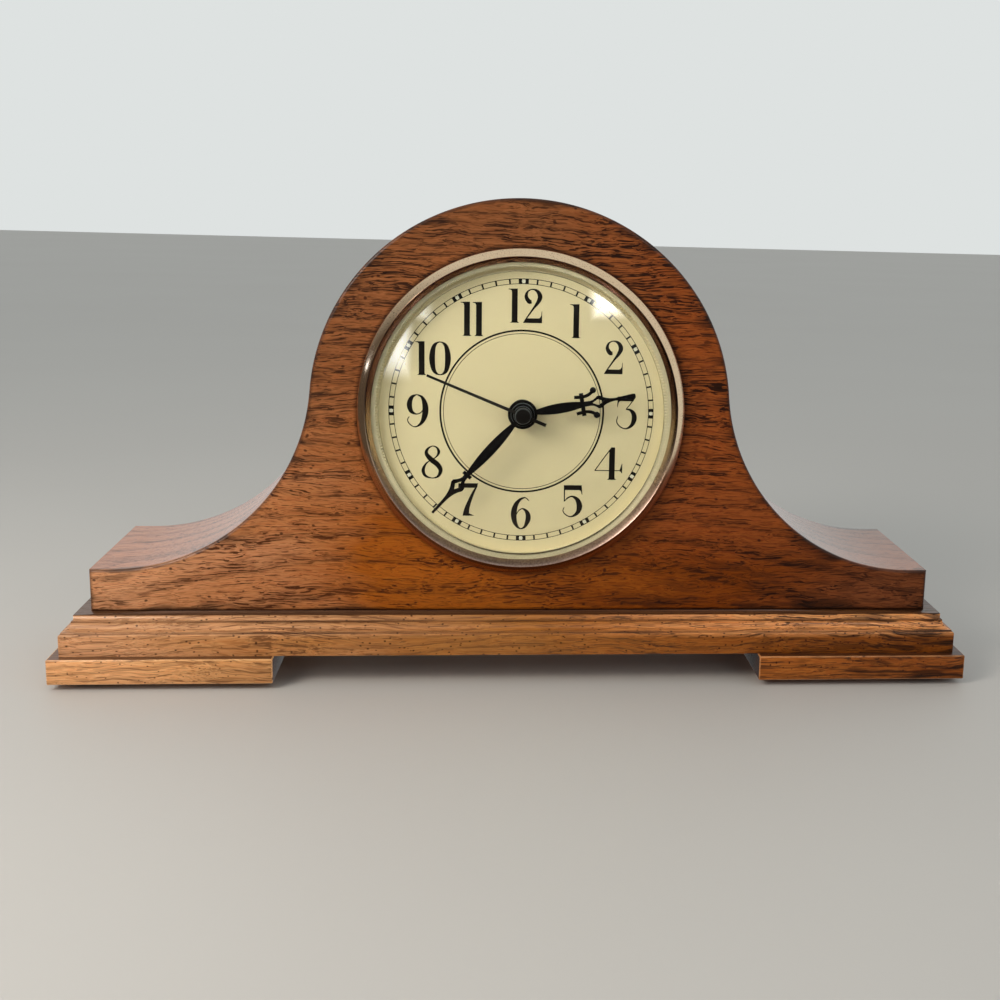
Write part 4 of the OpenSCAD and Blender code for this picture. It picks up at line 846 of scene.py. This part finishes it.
# How far each figure is printed off its hour line, in mm
NUDGES = {1: (-0.4, 0.3), 2: (-0.2, 1.5), 3: (0.0, 0.1), 4: (-1.1, 0.3), 5: (-0.2, -0.1), 6: (-0.1, 0.4),
          7: (-0.4, 0.4), 8: (0.5, 0.3), 9: (0.4, 0.0), 10: (1.0, 0.0), 11: (0.8, 0.4), 12: (0.7, 0.3)}
figures = bmesh.new()
for hour, (dx, dy) in NUDGES.items():
    turn = math.radians(30 * hour)
    draw_numeral(figures, str(hour), (numeral_r * math.sin(turn) + dx, numeral_r * math.cos(turn) + dy))
figures_mesh = smooth_mesh("numerals", figures)
figures_mesh.transform(to_dial)
make_piece("numerals", figures_mesh, [ink], "clock_insert", "hand_black")

# Hands
# Stamped from brass sheet and coated gloss black: a scrolled hour hand, a leaf-shaped minute hand and
# a thin second hand, each pressed on its own pipe. Their cut edges are slightly rounded by tumbling.
gloss_black = mottled("gloss black hand lacquer", "#060606", "#0F0E10", 1.2, 0.2, 0.03 * MM,
                      Roughness=0.24, Specular_IOR_Level=0.3)
# The thin second hand is coated matter
matte_black = mottled("satin black hand lacquer", "#070504", "#120C0A", 1.2, Roughness=0.5,
                      Specular_IOR_Level=0.15)
# The round edges of hubs and cap are painted grey, as painted highlights
grey_highlight_edge = mottled("black lacquer painted grey as highlight", "#23272B", "#474C50", 0.9, Roughness=0.3)
for node, body in (("hour_hand", "hour"), ("minute_hand", "minute")):
    mesh = eased_copy(node, node + "_stamping", 0.07 * MM, 0.02 * MM, 60, 1)
    make_piece(node + "_stamping", mesh, [gloss_black, gloss_black], body, "hand_black", node)

cap_h, cap_in, cap_out = (front_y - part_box("second_hand")[0].y) / MM, 2.4 * MM, 3.2 * MM
mesh = eased_copy("second_hand", "second_hand_stamping", 0.07 * MM, 0.02 * MM, 60, 1, (cap_h, 0.55))
# The needle is broadened a little by the lacquer that gathers on its cut edges
gathered, needle_half, needle_start = 0.24 * MM, 0.4 * MM, 2.6 * MM
hub = Vector((0.0, 0.0, dial_z))
flat = Vector((1, 0, 1))
needle = max(((v.co - hub) * flat for v in mesh.vertices), key=lambda far: far.length).normalized()
aside = Vector((needle.z, 0.0, -needle.x))
for v in mesh.vertices:
    offset = (v.co - hub) * flat
    off_line = offset.dot(aside)
    if abs(offset.dot(needle)) > needle_start:
        share = min(1.0, max(0.0, (needle_half + 0.5 * MM - abs(off_line)) / (0.5 * MM)))
        v.co += aside * math.copysign(gathered * share, off_line)
# The cap's sloping round edge takes the painted grey highlight
for face in mesh.polygons:
    offset = (face.center - hub) * flat
    if cap_in < offset.length < cap_out and 0.15 < -face.normal.y < 0.97:
        face.material_index = 2
make_piece("second_hand_stamping", mesh, [matte_black, matte_black, grey_highlight_edge], "seconds",
           "hand_black", "second_hand")

# Each of the two large hands is riveted to its pipe by a rounded collar
collar_h, collar_round = 0.42, 0.3
for node, body, inner, outer in (("hour_hand", "hour", 2.9, 4.6), ("minute_hand", "minute", 1.8, 3.6)):
    face_h = (front_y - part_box(node)[0].y) / MM
    collar = [(inner, face_h - 0.1), (outer, face_h - 0.1), (outer, face_h + collar_h - collar_round)]
    for a in (30, 60, 90):
        turn = math.radians(a)
        collar.append((outer - collar_round * (1 - math.cos(turn)),
                       face_h + collar_h - collar_round * (1 - math.sin(turn))))
    collar.append((inner, face_h + collar_h))
    mesh = turned(node + "_collar", collar, 96)
    # Its sloping round edge takes the painted grey highlight
    for face in mesh.polygons:
        face.material_index = 1 if 0.15 < -face.normal.y < 0.97 else 0
    make_piece(node + "_collar", mesh, [gloss_black, grey_highlight_edge], body, "hand_black")

# Insert can and grip band
# A cup moulded from black polystyrene closes the clock from behind, and a soft rubber band in its
# groove grips the bore, so the whole insert pushes in and pulls out of the case.


def moulded(name, dark, light, grit_mm, roughness):
    """Moulded plastic with a fine spark-eroded texture"""
    material, tree, shader = new_finish(name, IOR=1.5)
    place = put(tree, "ShaderNodeTexCoord").outputs["Object"]
    grit = put(tree, "ShaderNodeTexNoise", {"Vector": place, "Scale": 1000.0 / grit_mm, "Detail": 3.0})
    flow = put(tree, "ShaderNodeTexNoise", {"Vector": place, "Scale": 40.0, "Detail": 2.0})
    shade = put(tree, "ShaderNodeMix", {0: flow, 6: srgb(dark), 7: srgb(light)}, data_type="RGBA")
    dull = put(tree, "ShaderNodeMapRange", {"Value": grit, "To Min": roughness * 0.85,
                                            "To Max": roughness * 1.15})
    relief = put(tree, "ShaderNodeBump", {"Height": grit, "Strength": 0.35, "Distance": 0.05 * MM})
    feed(shader, {"Base Color": shade, "Roughness": dull, "Normal": relief})
    return material


black_shell = moulded("black moulded polystyrene", "#101012", "#1B1B1E", 0.5, 0.5)
black_abs = moulded("black textured ABS", "#141416", "#202024", 0.4, 0.55)
make_piece("can_moulding", eased_copy("insert_can", "can_moulding", 0.35 * MM, 0.3 * MM),
           [black_shell, black_shell], "clock_insert", "black_plastic", "insert_can")
dress("grip_band", rubber)
dress("dial_gasket", rubber)

# Quartz movement
# A black ABS box with a lidded back holds the battery, the circuit and two plastic wheel trains
# that a small stepping motor drives. The metal parts are plated steel, brass and enamelled wire.
black_nut = turned_metal("blackened brass", "#2A2A2C", "#19191B", 0.45, 2.0)
turned_brass = turned_metal("turned brass", "#D8B46A", "#B88F48", 0.25, 2.0)
spring_steel = turned_metal("nickel plated spring steel", "#D2D0C8", "#A9A79F", 0.22, 1.2)
iron = turned_metal("annealed motor iron", "#8F9094", "#6C6D72", 0.45, 1.8)
enamelled_wire = turned_metal("enamelled copper wire", "#B5622F", "#7E3D1A", 0.35, 6.0)
wheel_nylon = moulded("natural nylon", "#CFC8B2", "#E2DDCB", 0.6, 0.5)
white_acetal = moulded("white acetal", "#D8D8D2", "#ECECE6", 0.6, 0.45)
green_board = moulded("green lacquered circuit board", "#123A22", "#1D5130", 0.8, 0.35)
for node, name, width, min_edge, body in (
        ("movement_case", "movement_box", 0.3, 1.5, "clock_insert"),
        ("movement_cover", "movement_lid", 0.3, 1.5, "clock_insert"),
        ("set_knob", "setting_knob", 0.1, 0.3, "set_knob")):
    make_piece(name, eased_copy(node, name, width * MM, min_edge * MM), [black_abs, black_abs], body,
               "black_plastic", node)
for material, nodes in ((black_nut, ["dial_nut"]), (turned_brass, ["shaft_bushing", "minute_pipe"]),
                        (spring_steel, ["contact_plus", "contact_minus", "quartz_can"]),
                        (iron, ["coil_core", "stator", "rotor"]), (enamelled_wire, ["drive_coil"]),
                        (green_board, ["circuit_board"]),
                        (wheel_nylon, ["fifth_wheel", "seconds_wheel", "third_wheel",
                                       "centre_wheel"]),
                        (white_acetal, ["train_plate", "motion_wheel", "hour_wheel"])):
    for node in nodes:
        dress(node, material)

# Battery
# An AA cell in a plain shrink sleeve, black with a copper-coloured band at the plus end, and bare
# nickel-plated steel at its button and base. It lies across the foot of the movement.
cell_low, cell_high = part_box("battery")
cell_y, cell_z = (cell_low.y + cell_high.y) / 2, (cell_low.z + cell_high.z) / 2
cell_r, cell_length = (cell_high.z - cell_low.z) / 2, cell_high.x - cell_low.x
band_x = 11 * MM
sleeve, tree, shader = new_finish("printed shrink sleeve", Roughness=0.3, IOR=1.5, Coat_Weight=0.3,
                                  Coat_Roughness=0.15)
place = put(tree, "ShaderNodeTexCoord").outputs["Object"]
across = put(tree, "ShaderNodeSeparateXYZ", {0: place}).outputs[0]
wavy = put(tree, "ShaderNodeTexNoise", {"Vector": place, "Scale": 300.0})
shade = put(tree, "ShaderNodeMix", {0: wavy, 6: srgb("#141416"), 7: srgb("#1F1F22")},
            data_type="RGBA")
band = put(tree, "ShaderNodeMath", {0: across, 1: band_x}, operation="GREATER_THAN")
shade = put(tree, "ShaderNodeMix", {0: band, 6: shade, 7: srgb("#B4713C")}, data_type="RGBA")
feed(shader, {"Base Color": shade})
# The sleeve wraps the shares from the base's rim to the shoulder, and the rest is bare
base_shares = [(0, 0.001), (0.55, 0.001), (0.58, 0.004)]
sleeve_shares = [(0.84, 0.004), (0.9, 0.001), (0.97, 0.004), (1, 0.014), (1, 0.935), (0.97, 0.947),
                 (0.9, 0.951), (0.88, 0.945)]
button_shares = [(0.42, 0.945), (0.38, 0.952), (0.38, 0.99), (0.35, 1.0), (0, 1.0)]


def make_cell(steps=72):
    """The cell turned about its own axis, from its (radius, distance from the base) in shares"""
    shape = bmesh.new()
    loops = []
    for r, t in base_shares + sleeve_shares + button_shares:
        x = cell_low.x + t * cell_length
        turns = [2 * math.pi * i / steps for i in range(steps)] if r else [0]
        loops.append([shape.verts.new((x, cell_y + r * cell_r * math.cos(a),
                                       cell_z + r * cell_r * math.sin(a))) for a in turns])
    sleeved = range(len(base_shares), len(base_shares) + len(sleeve_shares) - 1)
    for k, (a, b) in enumerate(zip(loops, loops[1:])):
        for i in range(steps):
            j = (i + 1) % steps
            corners = [a[i % len(a)], a[j % len(a)], b[j % len(b)], b[i % len(b)]]
            face = shape.faces.new(list(dict.fromkeys(corners)))
            face.material_index = 0 if k in sleeved else 1
    return smooth_mesh("aa_cell", shape)


make_piece("aa_cell", make_cell(), [sleeve, spring_steel], "battery", "cell", "battery")

# Studio
# A plain pale floor, a large soft window light from the left, a second from the right and a bright
# pale room, with the camera where the photograph's stood.
floor_paint = mottled("pale matte floor", "#B3B0AC", "#B8B6B2", 0.003, Roughness=0.6)
floor_mesh = bpy.data.meshes.new("floor")
floor_mesh.from_pydata([(-6, -6, 0), (6, -6, 0), (6, 6, 0), (-6, 6, 0)], [], [(0, 1, 2, 3)])
floor = bpy.data.objects.new("floor", floor_mesh)
bpy.context.scene.collection.objects.link(floor)
floor_mesh.materials.append(floor_paint)
# The pale floor lights the clock but is kept out of its reflections, as a dark cloth would do
floor.visible_glossy = False
floor.visible_transmission = False

# The room is bright above, behind and at the right, and dim at the left, with a pale glow from below
world = bpy.data.worlds.new("room")
bpy.context.scene.world = world
world.use_nodes = True
tree = world.node_tree
toward = put(tree, "ShaderNodeTexCoord").outputs["Generated"]
sides = put(tree, "ShaderNodeSeparateXYZ", {0: toward}).outputs
lean = put(tree, "ShaderNodeVectorMath", {0: toward, 1: (0.75, 0.9, 1.0)}, operation="DOT_PRODUCT")
left = put(tree, "ShaderNodeMapRange", {"Value": sides[0], "From Min": -0.5, "From Max": -0.95})
under = put(tree, "ShaderNodeMapRange", {"Value": sides[2], "From Min": -0.4, "From Max": -0.8})
bright = put(tree, "ShaderNodeMapRange", {"Value": lean, "From Min": -0.45, "From Max": 0.5})
seen = put(tree, "ShaderNodeLightPath").outputs["Is Camera Ray"]
room = srgb("#2A2523")
for share, tone in ((left, "#57504A"), (under, "#A8917F"), (bright, "#DEE2E1"), (seen, "#DEE2E1")):
    room = put(tree, "ShaderNodeMix", {0: share, 6: room, 7: srgb(tone)}, data_type="RGBA")
feed(tree.nodes["Background"], {"Color": room})


def window_light(name, place, aim, width, height, watts, colour="#FFFFFF"):
    """A rectangular lamp that faces a point, with light that fades towards its edges"""
    lamp = bpy.data.lights.new(name, "AREA")
    lamp.shape = "RECTANGLE"
    lamp.size, lamp.size_y = width, height
    lamp.energy = watts
    lamp.color = srgb(colour)[:3]
    lamp.use_nodes = True
    tree = lamp.node_tree
    across = put(tree, "ShaderNodeNewGeometry").outputs["Parametric"]
    across = put(tree, "ShaderNodeVectorMath", {0: across, 1: (0.5, 0.5, 0.0)}, operation="SUBTRACT")
    across = put(tree, "ShaderNodeVectorMath", {0: across}, operation="ABSOLUTE")
    sides = put(tree, "ShaderNodeSeparateXYZ", {0: across}).outputs
    rim = put(tree, "ShaderNodeMath", {0: sides[0], 1: sides[1]}, operation="MAXIMUM")
    fade = put(tree, "ShaderNodeMapRange", {"Value": rim, "From Min": 0.5, "From Max": 0.08,
                                            "To Max": 2.4}, interpolation_type="SMOOTHSTEP")
    feed(tree.nodes["Emission"], {"Strength": fade})
    holder = bpy.data.objects.new(name, lamp)
    holder.location = place
    holder.rotation_euler = (Vector(aim) - Vector(place)).to_track_quat("-Z", "Y").to_euler()
    bpy.context.scene.collection.objects.link(holder)


middle = (0, 0, 0.11)
window_light("left_soft_box", (-0.55, -0.48, 0.52), (-0.02, 0, 0.09), 0.5, 0.5, 5.9, "#FFF6EC")
window_light("left_window", (-0.49, -0.87, 0.24), middle, 0.14, 0.3, 0.46)
window_light("left_window_head", (-0.43, -0.86, 0.42), middle, 0.2, 0.15, 0.36)
window_light("right_window", (0.38, -0.88, 0.46), middle, 0.19, 0.19, 0.7)
window_light("side_window", (-1.1, -0.03, 0.3), (0, 0, 0.12), 0.13, 0.08, 0.09, "#DDE8FF")

# The camera's place and its turns in radians, as they were fitted to the photograph
eye_place = (-0.0152, -0.5692, 0.1887)
yaw, pitch, roll = 0.1044, 0.2097, 0.028
lens = bpy.data.cameras.new("camera")
lens.lens = 50
lens.sensor_width = 36
lens.shift_x = -0.125
eye = bpy.data.objects.new("camera", lens)
bpy.context.scene.collection.objects.link(eye)
forward = Vector((math.sin(yaw) * math.cos(pitch), math.cos(yaw) * math.cos(pitch), -math.sin(pitch)))
level = Vector((math.cos(yaw), -math.sin(yaw), 0))
upright = level.cross(forward)
across = math.cos(roll) * level + math.sin(roll) * upright
upright = -math.sin(roll) * level + math.cos(roll) * upright
turn = Matrix((across, upright, -forward)).transposed().to_4x4()
eye.matrix_world = Matrix.Translation(eye_place) @ turn
bpy.context.scene.camera = eye
bpy.context.scene.view_settings.view_transform = "Standard"
